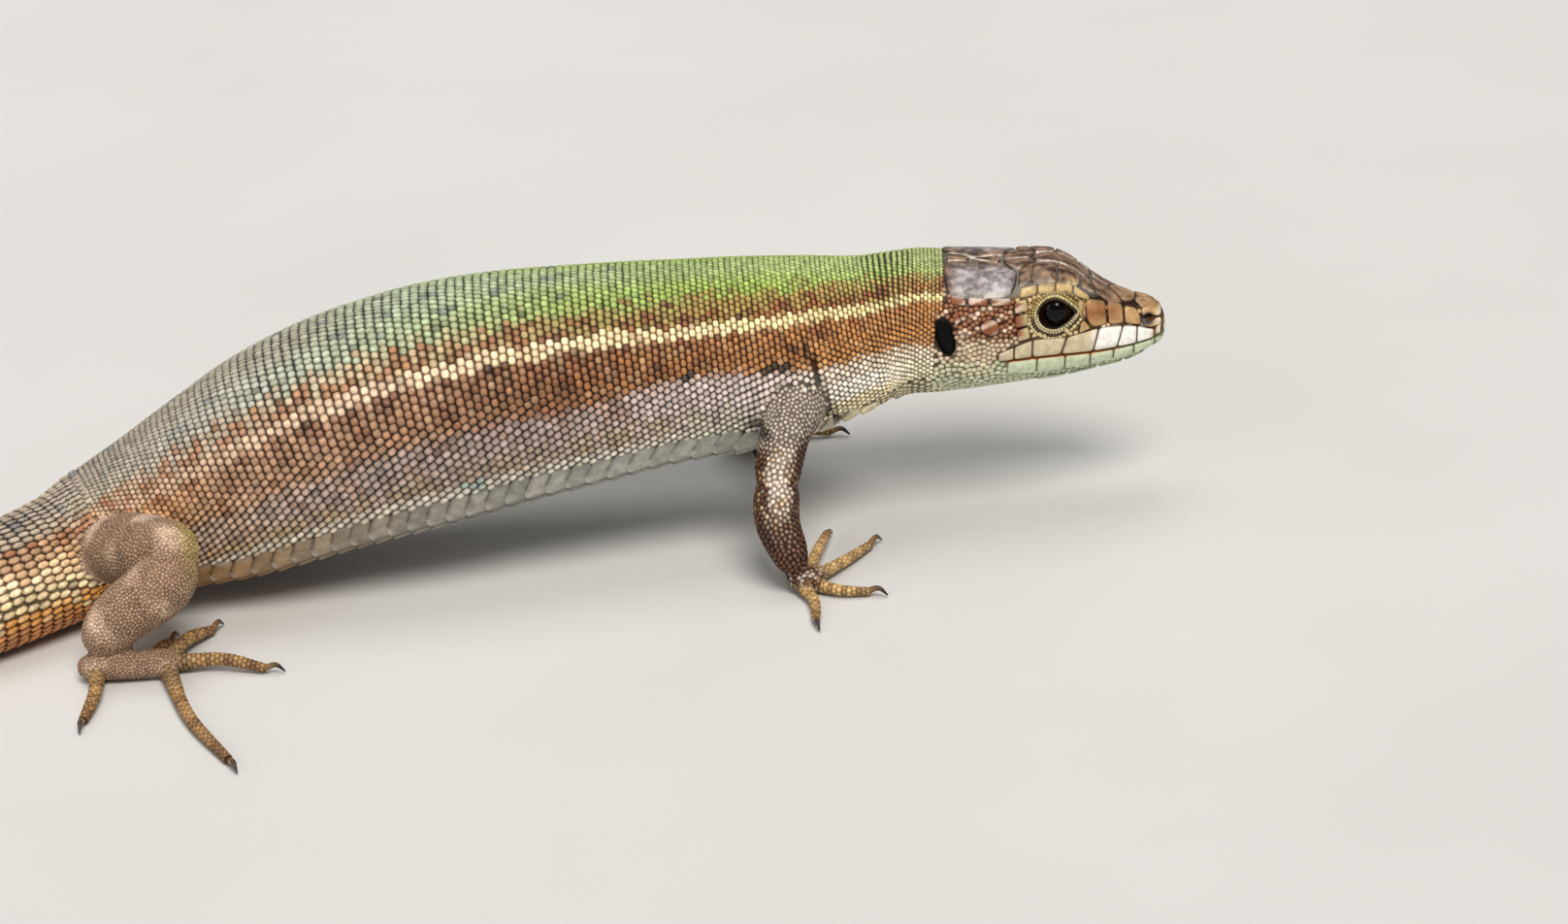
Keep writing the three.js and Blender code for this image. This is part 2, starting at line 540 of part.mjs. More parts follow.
function head() {
  let body = trunkLength(0, NECK_AT, 32, 18, { crowd: 1.5 });
  for (const piece of headPlates()) body = body.add(piece);
  for (const [, side] of SIDES) body = body.add(headBall(EYE, side * EYE.side, round(LID.radius)));
  for (const [, side] of SIDES) {
    const orbit = [EYE.wide, ORBIT_DEPTH, EYE.tall];
    const nostril = headBall(NOSTRIL, side * NOSTRIL.side, round(NOSTRIL.radius), 8, 6);
    body = body
      .subtract(headBall(EYE, side * EYE.side, round(LID.socket)))
      .subtract(headBall(EYE, side * (EYE.side + ORBIT_DEPTH), orbit))
      .subtract(headBall(EAR, side * EAR.side, [EAR.wide, EAR.deep, EAR.tall]))
      .subtract(nostril);
  }
  return largest(body.subtract(mouthSlit())).simplify(SMOOTHING);
}

// ---- the parts ----------------------------------------------------------------------------

const parts = new THREE.Group();

function addPart(name, body, colour, roughness = 0.6) {
  const material = new THREE.MeshStandardMaterial({ color: colour, roughness, metalness: 0 });
  const mesh = new THREE.Mesh(geometryOf(body), material);
  mesh.name = name;
  parts.add(mesh);
}

const FLOOR_BLOCK = solid(new THREE.BoxGeometry(400, 200, 40).translate(-80, 0, -20));
const onFloor = (body) => largest(body.subtract(FLOOR_BLOCK));

addPart('head', head(), COLOURS.head);
addPart('neck', trunkLength(NECK_AT + GAP, TORSO_AT, 28, 4), COLOURS.neck);
addPart('torso', trunkLength(TORSO_AT + GAP, HIPS_AT, 28, 14), COLOURS.torso);
addPart('hips', trunkLength(HIPS_AT + GAP, TAIL_AT[0], 28, 5), COLOURS.hips);
TAIL_AT.forEach((from, i) => {
  const to = TAIL_AT[i + 1] ?? TRUNK_LENGTH;
  const length = whorledLength(from + GAP, to, TAIL_AROUND[i], TAIL_WHORLS[i]);
  addPart(`tail_${i + 1}`, onFloor(length), COLOURS.tail);
});

for (const [name, side] of SIDES) {
  addPart(`eye_${name}`, headBall(EYE, side * EYE.side, round(EYE.radius)), COLOURS.eye, 0.1);
  const drumSide = side * (EAR.side - EAR.deep + GAP + EAR.drum);
  const drum = [EAR.wide - GAP, EAR.drum, EAR.tall - GAP];
  addPart(`ear_${name}`, headBall(EAR, drumSide, drum, 10, 6), COLOURS.ear, 0.4);
}

const trunkClear = trunkLength(0, TAIL_AT[0] + 10, 28, 34, { grow: GAP });
for (const [leg, { upper, lower, foot, toes }] of Object.entries(LEGS)) {
  const lengths = [{ ...upper, up: ACROSS }];
  lengths.push({ ...lower, path: [insideEnd(lengths[0]), ...lower.path], up: ACROSS });
  lengths.push({ ...foot, steps: 6 });
  const bodies = lengths.map((shape) => limb(shape));
  const clears = lengths.map((shape) => limb({ ...shape, grow: GAP }));
  addPart(`${leg}_upper`, largest(bodies[0].subtract(trunkClear)), COLOURS.leg);
  addPart(`${leg}_lower`, onFloor(bodies[1].subtract(clears[0])), COLOURS.leg);
  addPart(`${leg}_foot`, onFloor(bodies[2].subtract(clears[1])), COLOURS.leg);
  let clear = clears[1].add(clears[2]);
  const toeRadii = TOE_RADII[leg.slice(0, 4)];
  toes.forEach((shape, i) => {
    addPart(`${leg}_toe_${i + 1}`, onFloor(toe(shape, toeRadii).subtract(clear)), COLOURS.toe);
    clear = clear.add(toe(shape, toeRadii, GAP));
  });
}

// ---- the part's frame: the origin is under the middle of its box, on the floor ---------------

const box = new THREE.Box3().setFromObject(parts);
parts.position.set(-(box.min.x + box.max.x) / 2, -(box.min.y + box.max.y) / 2, -box.min.z);

const lizard = new THREE.Group();
lizard.add(parts);

export default lizard;
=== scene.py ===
"""A wall lizard standing still on a pale floor, life size: its skin, scales, head shields, eyes,
ears and claws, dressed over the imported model."""

import math

import bpy
import numpy as np
from mathutils import Matrix, Vector
from mathutils.bvhtree import BVHTree
from mathutils.kdtree import KDTree


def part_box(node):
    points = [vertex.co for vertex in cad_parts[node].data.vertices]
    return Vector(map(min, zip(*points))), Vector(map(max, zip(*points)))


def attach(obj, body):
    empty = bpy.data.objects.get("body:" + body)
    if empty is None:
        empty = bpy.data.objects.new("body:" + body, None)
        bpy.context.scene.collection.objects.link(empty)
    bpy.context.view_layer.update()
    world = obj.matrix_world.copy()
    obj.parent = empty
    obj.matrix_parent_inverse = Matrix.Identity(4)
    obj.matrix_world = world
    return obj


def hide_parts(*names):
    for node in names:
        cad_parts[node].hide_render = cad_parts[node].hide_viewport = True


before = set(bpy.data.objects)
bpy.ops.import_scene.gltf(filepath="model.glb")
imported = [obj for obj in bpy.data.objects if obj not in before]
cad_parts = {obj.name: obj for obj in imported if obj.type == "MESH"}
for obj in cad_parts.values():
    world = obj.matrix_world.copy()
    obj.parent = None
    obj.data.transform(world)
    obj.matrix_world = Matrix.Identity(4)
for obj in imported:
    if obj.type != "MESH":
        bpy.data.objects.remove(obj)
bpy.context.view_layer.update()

MM = 0.001
RIGHT, LEFT = 1, -1
SIDES = (("right", RIGHT), ("left", LEFT))
draw = np.random.default_rng(7)

# ---- the animal's shape, in millimetres: +X to the snout, -Y to its right, floor at Z = 0 ----

SNOUT_TIP = np.array([25, -0.6, 10.9])
HEAD_PITCH = math.radians(6.5)
HEAD_YAW = math.radians(3)
HEAD_MID = 0.2
SNOUT_ROUNDING = 1.3

# back, roof over the axis, throat under it, half width, squareness of the roof, closing of the sides
HEAD_ROWS = [
    (0, 1.95, -1.1, 1.3, 2.4, 0.1), (1.2, 2.1, -1.4, 1.6, 2.6, 0.16),
    (2.4, 2.35, -1.95, 2.05, 2.9, 0.22), (3.7, 2.85, -2.3, 2.5, 3.2, 0.26),
    (5, 3.65, -2.6, 2.95, 3.5, 0.26), (6.2, 4.4, -2.9, 3.3, 3.8, 0.2),
    (7.4, 4.75, -3.1, 3.6, 4, 0.14), (8.8, 4.65, -3.35, 3.95, 4, 0.12),
    (10.4, 4.5, -3.6, 4.25, 3.8, 0.12), (12.4, 4.5, -3.95, 4.45, 3.4, 0.1),
    (14.2, 4.6, -4.25, 4.4, 2.9, 0.07), (16, 4.7, -4.45, 4.35, 2.5, 0.03),
]
# the spine behind the head: x, y, height of the axis, half height, half width
BODY_ROWS = [
    (6.4, 0, 12.7, 4.75, 4.7), (3, 0, 12.35, 5.4, 5.5), (-1, 0, 12.05, 5.95, 6.3),
    (-6.2, 0, 12.05, 6.2, 6.9), (-11.5, 0, 11.8, 6.7, 7.4), (-16.5, 0, 11.5, 7.1, 7.9),
    (-21.8, -0.2, 10.9, 7.4, 8.2), (-27, -0.4, 10, 7.25, 8), (-32.1, -0.8, 8.65, 6.8, 7.4),
    (-36.6, -1.2, 7.1, 6, 6.5), (-40.9, -1.8, 5.9, 4.95, 5.4), (-44, -2.6, 5, 4.35, 4.8),
]
ROOF_POWER_BODY = 2.15
BELLY_POWER = 2.3

VENT = (-46.3, -3.6)
TAIL_LENGTH = 125
TAIL_TIP_RADIUS = 0.35
TAIL_STEM_RADIUS = 2.65
TAIL_ROOT_SWELLING = 0.98
TAIL_ROOT_REACH = 14
TAIL_SWING = math.radians(33)
TAIL_HALF_WAVE = 92
TAIL_ROW_STEP = 5
TAIL_LIFT = 0.45
TAIL_LIFT_REACH = 7
TAIL_FLAT = 0.1
VENT_AT = 73

EYE = {"back": 7.15, "side": 1.85, "up": 2.15, "radius": 1.36, "wide": 1.15, "tall": 0.98}
LID_RADIUS = 1.88


def at_eye(side, outward=0):
    return EYE["back"], side * (EYE["side"] + outward), EYE["up"]


def table(keys, rows):
    """Reads rows at any keys, smoothly and without overshooting between them."""
    keys, rows = np.asarray(keys, float), np.asarray(rows, float)
    steps = np.diff(keys)[:, None]
    rises = np.diff(rows, axis=0) / steps
    slopes = np.zeros_like(rows)
    before, after = rises[:-1], rises[1:]
    agree = before * after > 0
    slopes[1:-1] = np.where(agree, 2 * before * after / np.where(agree, before + after, 1), 0)

    def read(at):
        at = np.asarray(at, float)
        i = np.clip(np.searchsorted(keys, at) - 1, 0, len(keys) - 2)
        span = (keys[i + 1] - keys[i])[..., None]
        t = np.clip((at - keys[i])[..., None] / span, 0, 1)
        ease = t * t * (3 - 2 * t)
        bend = span * t * (1 - t) * ((1 - t) * slopes[i] - t * slopes[i + 1])
        return rows[i] * (1 - ease) + rows[i + 1] * ease + bend
    return read


HEAD_AXIS = np.array([
    math.cos(HEAD_PITCH) * math.cos(HEAD_YAW),
    -math.cos(HEAD_PITCH) * math.sin(HEAD_YAW),
    -math.sin(HEAD_PITCH),
])
HEAD_SIDE = np.cross(HEAD_AXIS, (0, 0, 1))
HEAD_SIDE /= np.linalg.norm(HEAD_SIDE)
HEAD_UP = np.cross(HEAD_SIDE, HEAD_AXIS)


def head_point(back, side, up):
    """A point by its distance behind the snout, to the animal's right and over the head's axis."""
    return SNOUT_TIP - np.multiply.outer(back, HEAD_AXIS) + np.multiply.outer(side, HEAD_SIDE) \
        + np.multiply.outer(up, HEAD_UP)


def tail_radius(behind):
    left = max(0, 1 - behind / TAIL_LENGTH)
    root = TAIL_ROOT_SWELLING * math.exp(-(behind / TAIL_ROOT_REACH) ** 2)
    return TAIL_TIP_RADIUS + TAIL_STEM_RADIUS * left ** 1.1 + root


def trunk_rows():
    """Centre, heading, slope, half width, height over and under, squareness and closing of each row."""
    rows = []
    for back, roof, throat, half, power, closing in HEAD_ROWS:
        centre = head_point(back, 0, HEAD_MID)
        rows.append([*centre, HEAD_YAW, HEAD_PITCH, half, roof - HEAD_MID, HEAD_MID - throat,
                     power, BELLY_POWER, closing])
    spine = list(BODY_ROWS)
    x, y = VENT
    for behind in range(0, TAIL_LENGTH + 1, TAIL_ROW_STEP):
        radius = tail_radius(behind)
        lift = TAIL_LIFT * math.exp(-(behind / TAIL_LIFT_REACH) ** 2) - TAIL_FLAT
        spine.append((x, y, radius + lift, radius, radius * 1.04))
        swing = TAIL_SWING * math.cos(math.pi * (behind + TAIL_ROW_STEP / 2) / TAIL_HALF_WAVE)
        x -= TAIL_ROW_STEP * math.cos(swing)
        y -= TAIL_ROW_STEP * math.sin(swing)
    for i, (x, y, z, high, half) in enumerate(spine):
        ahead = np.array(spine[max(0, i - 1)][:3])
        run = ahead - spine[min(len(spine) - 1, i + 1)][:3]
        run /= np.linalg.norm(run)
        rows.append([x, y, z, math.atan2(-run[1], run[0]), math.asin(-run[2]), half, high, high,
                     ROOF_POWER_BODY, BELLY_POWER, 0])
    return np.array(rows)


TRUNK_ROWS = trunk_rows()
TRUNK_RUNS = np.linalg.norm(np.diff(TRUNK_ROWS[:, :3], axis=0), axis=1)
TRUNK_KEYS = np.concatenate(([0], np.cumsum(TRUNK_RUNS)))
read_trunk = table(TRUNK_KEYS, TRUNK_ROWS)
TRUNK_LENGTH = TRUNK_KEYS[-1]


def section(row, at, turn, grow):
    """Width to the right and height of the trunk's outline. turn is 0 on the ridge of the back."""
    half, over, under, roof_power, belly_power, closing = np.moveaxis(row[..., 5:], -1, 0)
    sine, cosine = np.sin(turn), np.cos(turn)
    power = np.where(cosine > 0, roof_power, belly_power)
    nose = np.clip(at / SNOUT_ROUNDING, 0, 1)
    tip = np.clip((TRUNK_LENGTH - at) / TAIL_TIP_RADIUS, 0, 1)
    rounding = np.sqrt(1 - (1 - nose) ** 2) * np.sqrt(1 - (1 - tip) ** 2)
    rise = np.sign(cosine) * np.abs(cosine) ** (2 / power)
    spread = np.sign(sine) * np.abs(sine) ** (2 / power)
    high = (np.where(cosine > 0, over, under) * rounding + grow) * rise
    wide = (half * rounding + grow) * spread * (1 - closing * np.maximum(0, rise) ** 1.4)
    return wide, high


def trunk_point(at, turn, grow=0):
    at, turn = np.broadcast_arrays(np.asarray(at, float), np.asarray(turn, float))
    row = read_trunk(at)
    x, y, z, yaw, pitch = np.moveaxis(row[..., :5], -1, 0)
    wide, high = section(row, at, turn, grow)
    return np.stack((
        x - wide * np.sin(yaw) + high * np.sin(pitch) * np.cos(yaw),
        y - wide * np.cos(yaw) - high * np.sin(pitch) * np.sin(yaw),
        z + high * np.cos(pitch),
    ), axis=-1)


# ---- legs and toes ---------------------------------------------------------

# The path of each length of a leg. A toe runs from its root to the tip of its claw, bowed to the
# right of its line and arched over the floor.
LEGS = {
    "fore_right": {
        "upper": [(1.6, -3.6, 10.4), (0.2, -7, 9), (-0.8, -9.3, 6.2)],
        "lower": [(-0.8, -10, 4.6), (-0.3, -10.7, 2.8), (0.1, -10.9, 1.3)],
        "foot": [(-0.6, -10.9, 0.95), (0.6, -10.9, 0.75), (1.8, -10.9, 0.65)],
        "toes": [
            ((0, -10.5, 0.7), (-0.8, -7, 0.35), 0, 0.15),
            ((0.7, -10.4, 0.75), (2.6, -3.2, 0.8), 0, 0.55),
            ((1.1, -10.6, 0.7), (5.7, -4.9, 0.35), 0.2, 0.15),
            ((1.1, -11.2, 0.55), (5.6, -13.2, 0.35), 0.45, 0.05),
            ((0.3, -11.3, 0.55), (1.1, -17.2, 0.35), -0.35, 0.1),
        ],
    },
    "fore_left": {
        "upper": [(1.6, 3.6, 10.4), (0, 7.6, 9), (-2.4, 10.4, 6.8)],
        "lower": [(-2.9, 11.6, 4.9), (-3.1, 12.6, 3), (-2.8, 13.2, 1.4)],
        "foot": [(-3, 13.2, 0.95), (-1.9, 13.6, 0.75), (-0.8, 14, 0.65)],
        "toes": [
            ((-2.4, 13.1, 0.7), (-1.8, 9.9, 0.35), 0, 0.2),
            ((-1.7, 13.2, 0.7), (1.2, 9.4, 0.35), 0.2, 0.3),
            ((-1.4, 13.6, 0.7), (4.6, 12.2, 0.35), 0.3, 0.3),
            ((-1.4, 14.1, 0.7), (4, 16.8, 0.35), -0.3, 0.3),
            ((-2.1, 14.1, 0.7), (-1, 19, 0.35), 0.3, 0.2),
        ],
    },
    "hind_right": {
        "upper": [(-44, -4.4, 5), (-41, -8.4, 6.6), (-37.3, -11.9, 7.5)],
        "lower": [(-38.9, -12.2, 6), (-41.8, -12.5, 4.1), (-44.3, -12.7, 1.9)],
        "foot": [(-45.2, -12.8, 0.95), (-42, -13.2, 0.9), (-38.6, -13.3, 0.75)],
        "toes": [
            ((-40.6, -12.8, 0.7), (-39.2, -8.2, 0.35), 0, 0.3),
            ((-39.6, -12.8, 0.7), (-36.4, -7.2, 0.35), -0.2, 0.45),
            ((-39.2, -13.2, 0.7), (-32.1, -15, 0.35), -0.3, 0.4),
            ((-39.5, -13.8, 0.6), (-34.4, -28.2, 0.35), 0.6, 0.05),
            ((-43.9, -13.2, 0.7), (-44.5, -20.7, 0.35), -0.3, 0.2),
        ],
    },
    "hind_left": {
        "upper": [(-43.6, -0.6, 5.2), (-40, 4.8, 6.6), (-36.1, 9.4, 7.2)],
        "lower": [(-37.4, 10.7, 6), (-39.8, 12.4, 4.1), (-42.2, 13.3, 1.9)],
        "foot": [(-43, 13.4, 0.95), (-40, 14, 0.9), (-36.6, 14.3, 0.75)],
        "toes": [
            ((-38.6, 13.8, 0.7), (-36.8, 9.7, 0.35), 0, 0.3),
            ((-37.6, 13.8, 0.7), (-32, 10.3, 0.35), 0.2, 0.4),
            ((-37.2, 14.2, 0.7), (-27.4, 13.8, 0.35), 0.3, 0.5),
            ((-37.5, 14.7, 0.7), (-25.2, 20.8, 0.35), 0.6, 0.4),
            ((-41.7, 13.9, 0.7), (-40.2, 21.3, 0.35), 0.3, 0.2),
        ],
    },
}
# radii read evenly along each length
LEG_RADII = {
    "fore": {"upper": [2.1, 1.65, 1.5], "lower": [1.45, 1.5, 1.35, 1.05], "foot": [1, 1.35, 1.15]},
    "hind": {"upper": [2.2, 2.3, 1.95], "lower": [1.9, 2.05, 1.9, 1.45], "foot": [1.2, 1.25, 1.25]},
}
FOOT_FLAT = {"fore": 0.6, "hind": 0.7}
INTO_JOINT = 0.9
TOE_RADII = {"fore": [0.46, 0.34, 0.3, 0.25], "hind": [0.52, 0.4, 0.36, 0.28]}
TOE_MIDDLE = 0.45
CLAW_LENGTH = 1.15
CLAW_RADII = [0.21, 0.17, 0.06]
CLAW_CREST = 0.62
CLAW_POINT = 0.16
CURVE_STEPS = 60


def unit(vectors):
    return vectors / np.maximum(np.linalg.norm(vectors, axis=-1, keepdims=True), 1e-9)


def in_surface(run, out):
    """A direction laid flat in the surface that faces out."""
    return unit(run - out * np.sum(run * out, axis=-1, keepdims=True))


def smooth_path(path):
    """A dense centripetal curve through the points of a path."""
    points = np.array(path, float)
    points = np.vstack((2 * points[0] - points[1], points, 2 * points[-1] - points[-2]))
    pieces = []
    for p0, p1, p2, p3 in zip(points, points[1:], points[2:], points[3:]):
        a, b, c = (np.linalg.norm(q - p) ** 0.5 for p, q in ((p0, p1), (p1, p2), (p2, p3)))
        start = ((p1 - p0) / a - (p2 - p0) / (a + b) + (p2 - p1) / b) * b
        end = ((p2 - p1) / b - (p3 - p1) / (b + c) + (p3 - p2) / c) * b
        t = np.linspace(0, 1, CURVE_STEPS, endpoint=False)[:, None]
        pieces.append(p1 + start * t + (3 * (p2 - p1) - 2 * start - end) * t ** 2
                      + (2 * (p1 - p2) + start + end) * t ** 3)
    return np.vstack((*pieces, points[-2]))


class Limb:
    """A rounded length of a leg or toe along a smooth path."""

    def __init__(self, path, radii, flat=1, up=(0, 0, 1)):
        self.curve = smooth_path(path)
        runs = np.linalg.norm(np.diff(self.curve, axis=0), axis=1)
        self.arc = np.concatenate(([0], np.cumsum(runs)))
        self.length = self.arc[-1]
        self.arc /= self.length
        self.slopes = unit(np.gradient(self.curve, axis=0))
        self.radius = table(np.linspace(0, 1, len(radii)), np.array(radii)[:, None])
        self.flat, self.up = flat, up

    def point(self, along, turn, grow=0):
        along, turn = np.broadcast_arrays(np.asarray(along, float), np.asarray(turn, float))
        centre, run = (np.stack([np.interp(along, self.arc, line) for line in lines.T], axis=-1)
                       for lines in (self.curve, self.slopes))
        side = unit(np.cross(run, self.up))
        over = np.cross(side, run)
        radius = self.radius(along)[..., 0]
        ends = np.clip(np.minimum(along, 1 - along) * self.length / radius, 0, 1)
        size = ((radius + grow) * np.sqrt(1 - (1 - ends) ** 2))[..., None]
        return centre - side * size * np.sin(turn)[..., None] \
            + over * size * np.cos(turn)[..., None] * self.flat


def inside_end(path, radii):
    """Where the lower leg starts: within the round end of the upper one."""
    before, end = np.array(path[-2], float), np.array(path[-1], float)
    return tuple(end + unit(before - end) * radii[-1] * INTO_JOINT)


def toe_paths(root, tip, bow, arch):
    """The path of a toe's flesh and of its claw, which hooks down to the floor."""
    root, tip = np.array(root, float), np.array(tip, float)
    ahead = unit((tip - root) * (1, 1, 0))
    right = np.array((ahead[1], -ahead[0], 0))
    end = tip - ahead * CLAW_LENGTH
    crest = (root + end) / 2 + right * bow
    crest[2] = TOE_MIDDLE + arch
    top = end + ahead * CLAW_LENGTH / 2
    top[2] = CLAW_CREST
    hook = np.array((tip[0], tip[1], CLAW_POINT))
    return [root, crest, end], [end - ahead * CLAW_LENGTH / 4, top, hook]


ACROSS = (1, 0, 0)
leg_lengths, toes, claws = {}, {}, {}
for leg, shape in LEGS.items():
    pair = leg[:4]
    radii = LEG_RADII[pair]
    lower = [inside_end(shape["upper"], radii["upper"]), *shape["lower"]]
    leg_lengths[leg, "upper"] = Limb(shape["upper"], radii["upper"], up=ACROSS)
    leg_lengths[leg, "lower"] = Limb(lower, radii["lower"], up=ACROSS)
    leg_lengths[leg, "foot"] = Limb(shape["foot"], radii["foot"], FOOT_FLAT[pair])
    for number, toe in enumerate(shape["toes"], start=1):
        flesh, claw = toe_paths(*toe)
        toes[leg, number] = Limb(flesh, TOE_RADII[pair])
        claws[leg, number] = Limb(claw, CLAW_RADII)
ALL_LIMBS = [*leg_lengths.values(), *toes.values()]


# ---- from the animal's own millimetres to the shared frame -----------------

eye_low, eye_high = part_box("eye_right")
eye_centre = [(low + high) / 2 / MM for low, high in zip(eye_low, eye_high)]
OFFSET = np.array(eye_centre) - head_point(*at_eye(RIGHT))


def metres(points):
    return (np.asarray(points) + OFFSET) * MM


def select_only(piece):
    bpy.ops.object.select_all(action="DESELECT")
    piece.select_set(True)
    bpy.context.view_layer.objects.active = piece


def set_points(piece, points):
    piece.data.vertices.foreach_set("co", np.ascontiguousarray(points, dtype=np.float32).ravel())
    piece.data.update()


def get_points(piece):
    points = np.empty(len(piece.data.vertices) * 3, np.float32)
    piece.data.vertices.foreach_get("co", points)
    return points.reshape(-1, 3)


def own_points(piece):
    """A piece's points in the animal's own millimetres."""
    return get_points(piece) / MM - OFFSET


def keep_only(kept, *parts):
    return [part[kept] for part in parts]


def grid(first, second):
    return [part.ravel() for part in np.meshgrid(first, second, indexing="ij")]


def search_tree(points):
    tree = KDTree(len(points))
    for i, point in enumerate(points):
        tree.insert(point, i)
    tree.balance()
    return tree


def edit(piece, *steps):
    """Runs edit-mode steps on the whole of a piece."""
    select_only(piece)
    bpy.ops.object.mode_set(mode="EDIT")
    bpy.ops.mesh.select_all(action="SELECT")
    for run in steps:
        run()
    bpy.ops.object.mode_set(mode="OBJECT")


def rolled(name, around, rings, place):
    """A grid rolled into a closed, rounded length: place(along 0..1, turn) gives millimetres."""
    bpy.ops.mesh.primitive_grid_add(x_subdivisions=around, y_subdivisions=rings, size=2)
    piece = bpy.context.object
    piece.name = piece.data.name = name
    flat = get_points(piece)
    set_points(piece, metres(place((flat[:, 1] + 1) / 2, flat[:, 0] * math.pi)))
    edit(piece, lambda: bpy.ops.mesh.remove_doubles(threshold=0.004 * MM),
         lambda: bpy.ops.mesh.normals_make_consistent(inside=False))
    return piece


def head_ball(name, back, side, up, radii, across=32, rings=20, lean=0.0):
    """A ball stretched along the head's own directions. lean tips its top backwards."""
    bpy.ops.mesh.primitive_uv_sphere_add(segments=across, ring_count=rings, radius=1)
    piece = bpy.context.object
    piece.name = piece.data.name = name
    ball = get_points(piece) * radii
    ball[:, 0] -= lean * ball[:, 2]
    axes = np.array((HEAD_AXIS, -HEAD_SIDE, HEAD_UP))
    set_points(piece, metres(head_point(back, side, up) + ball @ axes))
    return piece


def modify(piece, kind, **settings):
    select_only(piece)
    modifier = piece.modifiers.new(kind.lower(), kind)
    for key, value in settings.items():
        setattr(modifier, key, value)
    bpy.ops.object.modifier_apply(modifier=modifier.name)


def combine(piece, other, operation):
    modify(piece, "BOOLEAN", object=other, operation=operation, solver="MANIFOLD")
    bpy.data.objects.remove(other)


def join(pieces, name):
    select_only(pieces[0])
    for piece in pieces:
        piece.select_set(True)
    bpy.ops.object.join()
    pieces[0].name = pieces[0].data.name = name
    return pieces[0]


# ---- the skin --------------------------------------------------------------

COAT_DEPTH = 0.1
TOE_COAT_DEPTH = 0.03
VOXEL = 0.26
SKIN_THINNING = 0.72
# crowds the trunk's rings on the head, where the shape turns fastest
HEAD_CROWDING = 1.6
ARM_FOLD = {"at": 22.6, "slant": 0.014, "width": 0.17, "depth": 0.5, "top": 70}
# other folds, each by its distance from the snout and its width
COLLAR_FOLD, WAIST_FOLD = (18.2, 0.35), (66, 1.2)
FRONT_WRINKLE, REAR_WRINKLE = (28.6, 0.6), (31.5, 0.7)


def bump_along(at, middle, width):
    return np.exp(-((at - middle) / width) ** 2)


def arm_fold(at, around):
    """1 in the crease before the arm, which runs down and forward from the brown band."""
    middle = ARM_FOLD["at"] - ARM_FOLD["slant"] * (around - 90)
    return bump_along(at, middle, ARM_FOLD["width"]) / (1 + np.exp(-(around - ARM_FOLD["top"]) / 4))


def skin_folds(at, turn):
    """How far the skin sinks into its folds: the collar, the crease before the arm and the flank."""
    around = np.degrees(np.abs(turn))
    under = 1 / (1 + np.exp(-(around - 112) / 6))
    low = np.exp(-((around - 100) / 22) ** 2)
    collar = bump_along(at, *COLLAR_FOLD) * under * 0.3
    wrinkles = (bump_along(at, *FRONT_WRINKLE) + 0.7 * bump_along(at, *REAR_WRINKLE)) * low * 0.16
    waist = bump_along(at, *WAIST_FOLD) * low * 0.2
    return arm_fold(at, around) * ARM_FOLD["depth"] + collar + wrinkles + waist


def skin_point(at, turn, lift=0):
    return trunk_point(at, turn, lift - COAT_DEPTH - skin_folds(np.asarray(at, float), turn))


def build_skin():
    """One skin over head, trunk, tail, legs, toes and the swellings of the lids."""
    pieces = [rolled("skin", 112, 420, lambda along, turn:
                     skin_point(TRUNK_LENGTH * along ** HEAD_CROWDING, turn))]
    for limb in leg_lengths.values():
        pieces.append(rolled("leg", 48, 40, lambda along, turn: limb.point(along, turn, -COAT_DEPTH)))
    for _, side in SIDES:
        pieces.append(head_ball("lid", *at_eye(side), [LID_RADIUS - COAT_DEPTH] * 3))
    skin = join(pieces, "skin")
    modify(skin, "REMESH", mode="VOXEL", voxel_size=VOXEL * MM)
    modify(skin, "DECIMATE", ratio=SKIN_THINNING)
    for limb in toes.values():
        toe = rolled("toe", 18, 36, lambda along, turn: limb.point(along, turn, -TOE_COAT_DEPTH))
        combine(skin, toe, "UNION")
    return skin


# ---- colours ---------------------------------------------------------------

def dye(code):
    """A colour written as six hex digits, in the linear light that shaders use."""
    parts = np.array([int(code[i:i + 2], 16) / 255 for i in (0, 2, 4)])
    return np.where(parts <= 0.04045, parts / 12.92, ((parts + 0.055) / 1.055) ** 2.4)


def step(value, low, high):
    t = np.clip((np.asarray(value, float) - low) / (high - low), 0, 1)
    return t * t * (3 - 2 * t)


def mix(first, second, share):
    return first + (second - first) * np.asarray(share)[..., None]


def ramp(value, stops):
    places = [place for place, _ in stops]
    colours = np.array([dye(code) for _, code in stops])
    return np.stack([np.interp(value, places, channel) for channel in colours.T], axis=-1)


def ripple(points, size):
    """A slow, smooth unevenness over the body, from -1 to 1."""
    x, y, z = np.moveaxis(np.asarray(points) / size, -1, 0)
    return (np.sin(2.1 * x + 1.3 * np.sin(1.7 * y + z)) + np.sin(2.9 * y - 1.1 * x + 2)
            + np.sin(2.3 * z + 1.9 * x + 1.2 * np.sin(y))) / 3


# the long stripes of the trunk, each by the distance from the snout
BACK_STOPS = [(13, "93a060"), (18, "93b452"), (26, "84a636"), (38, "8aa850"), (47, "8ea480"),
              (54, "98a294"), (60, "969690"), (70, "908578"), (80, "988474"), (110, "8a7660"),
              (198, "80684e")]
RIDGE_STOPS = [(13, "93a068"), (20, "98b268"), (30, "8eaa66"), (46, "94aa90"), (54, "8e8e82"),
               (70, "8e827a"), (90, "8e7a68"), (198, "786450")]
ROW_STOPS = [(13, "8e5a26"), (24, "8c5820"), (36, "885e30"), (50, "a88662"), (62, "a38470"),
             (74, "9c6c44"), (95, "805a3c"), (198, "70563c")]
STRIPE_STOPS = [(13, "e8d292"), (24, "f4daa0"), (38, "f4d8ac"), (50, "e2c0a4"), (60, "b8967e"),
                (70, "ac8062"), (90, "9a7450"), (198, "8c7250")]
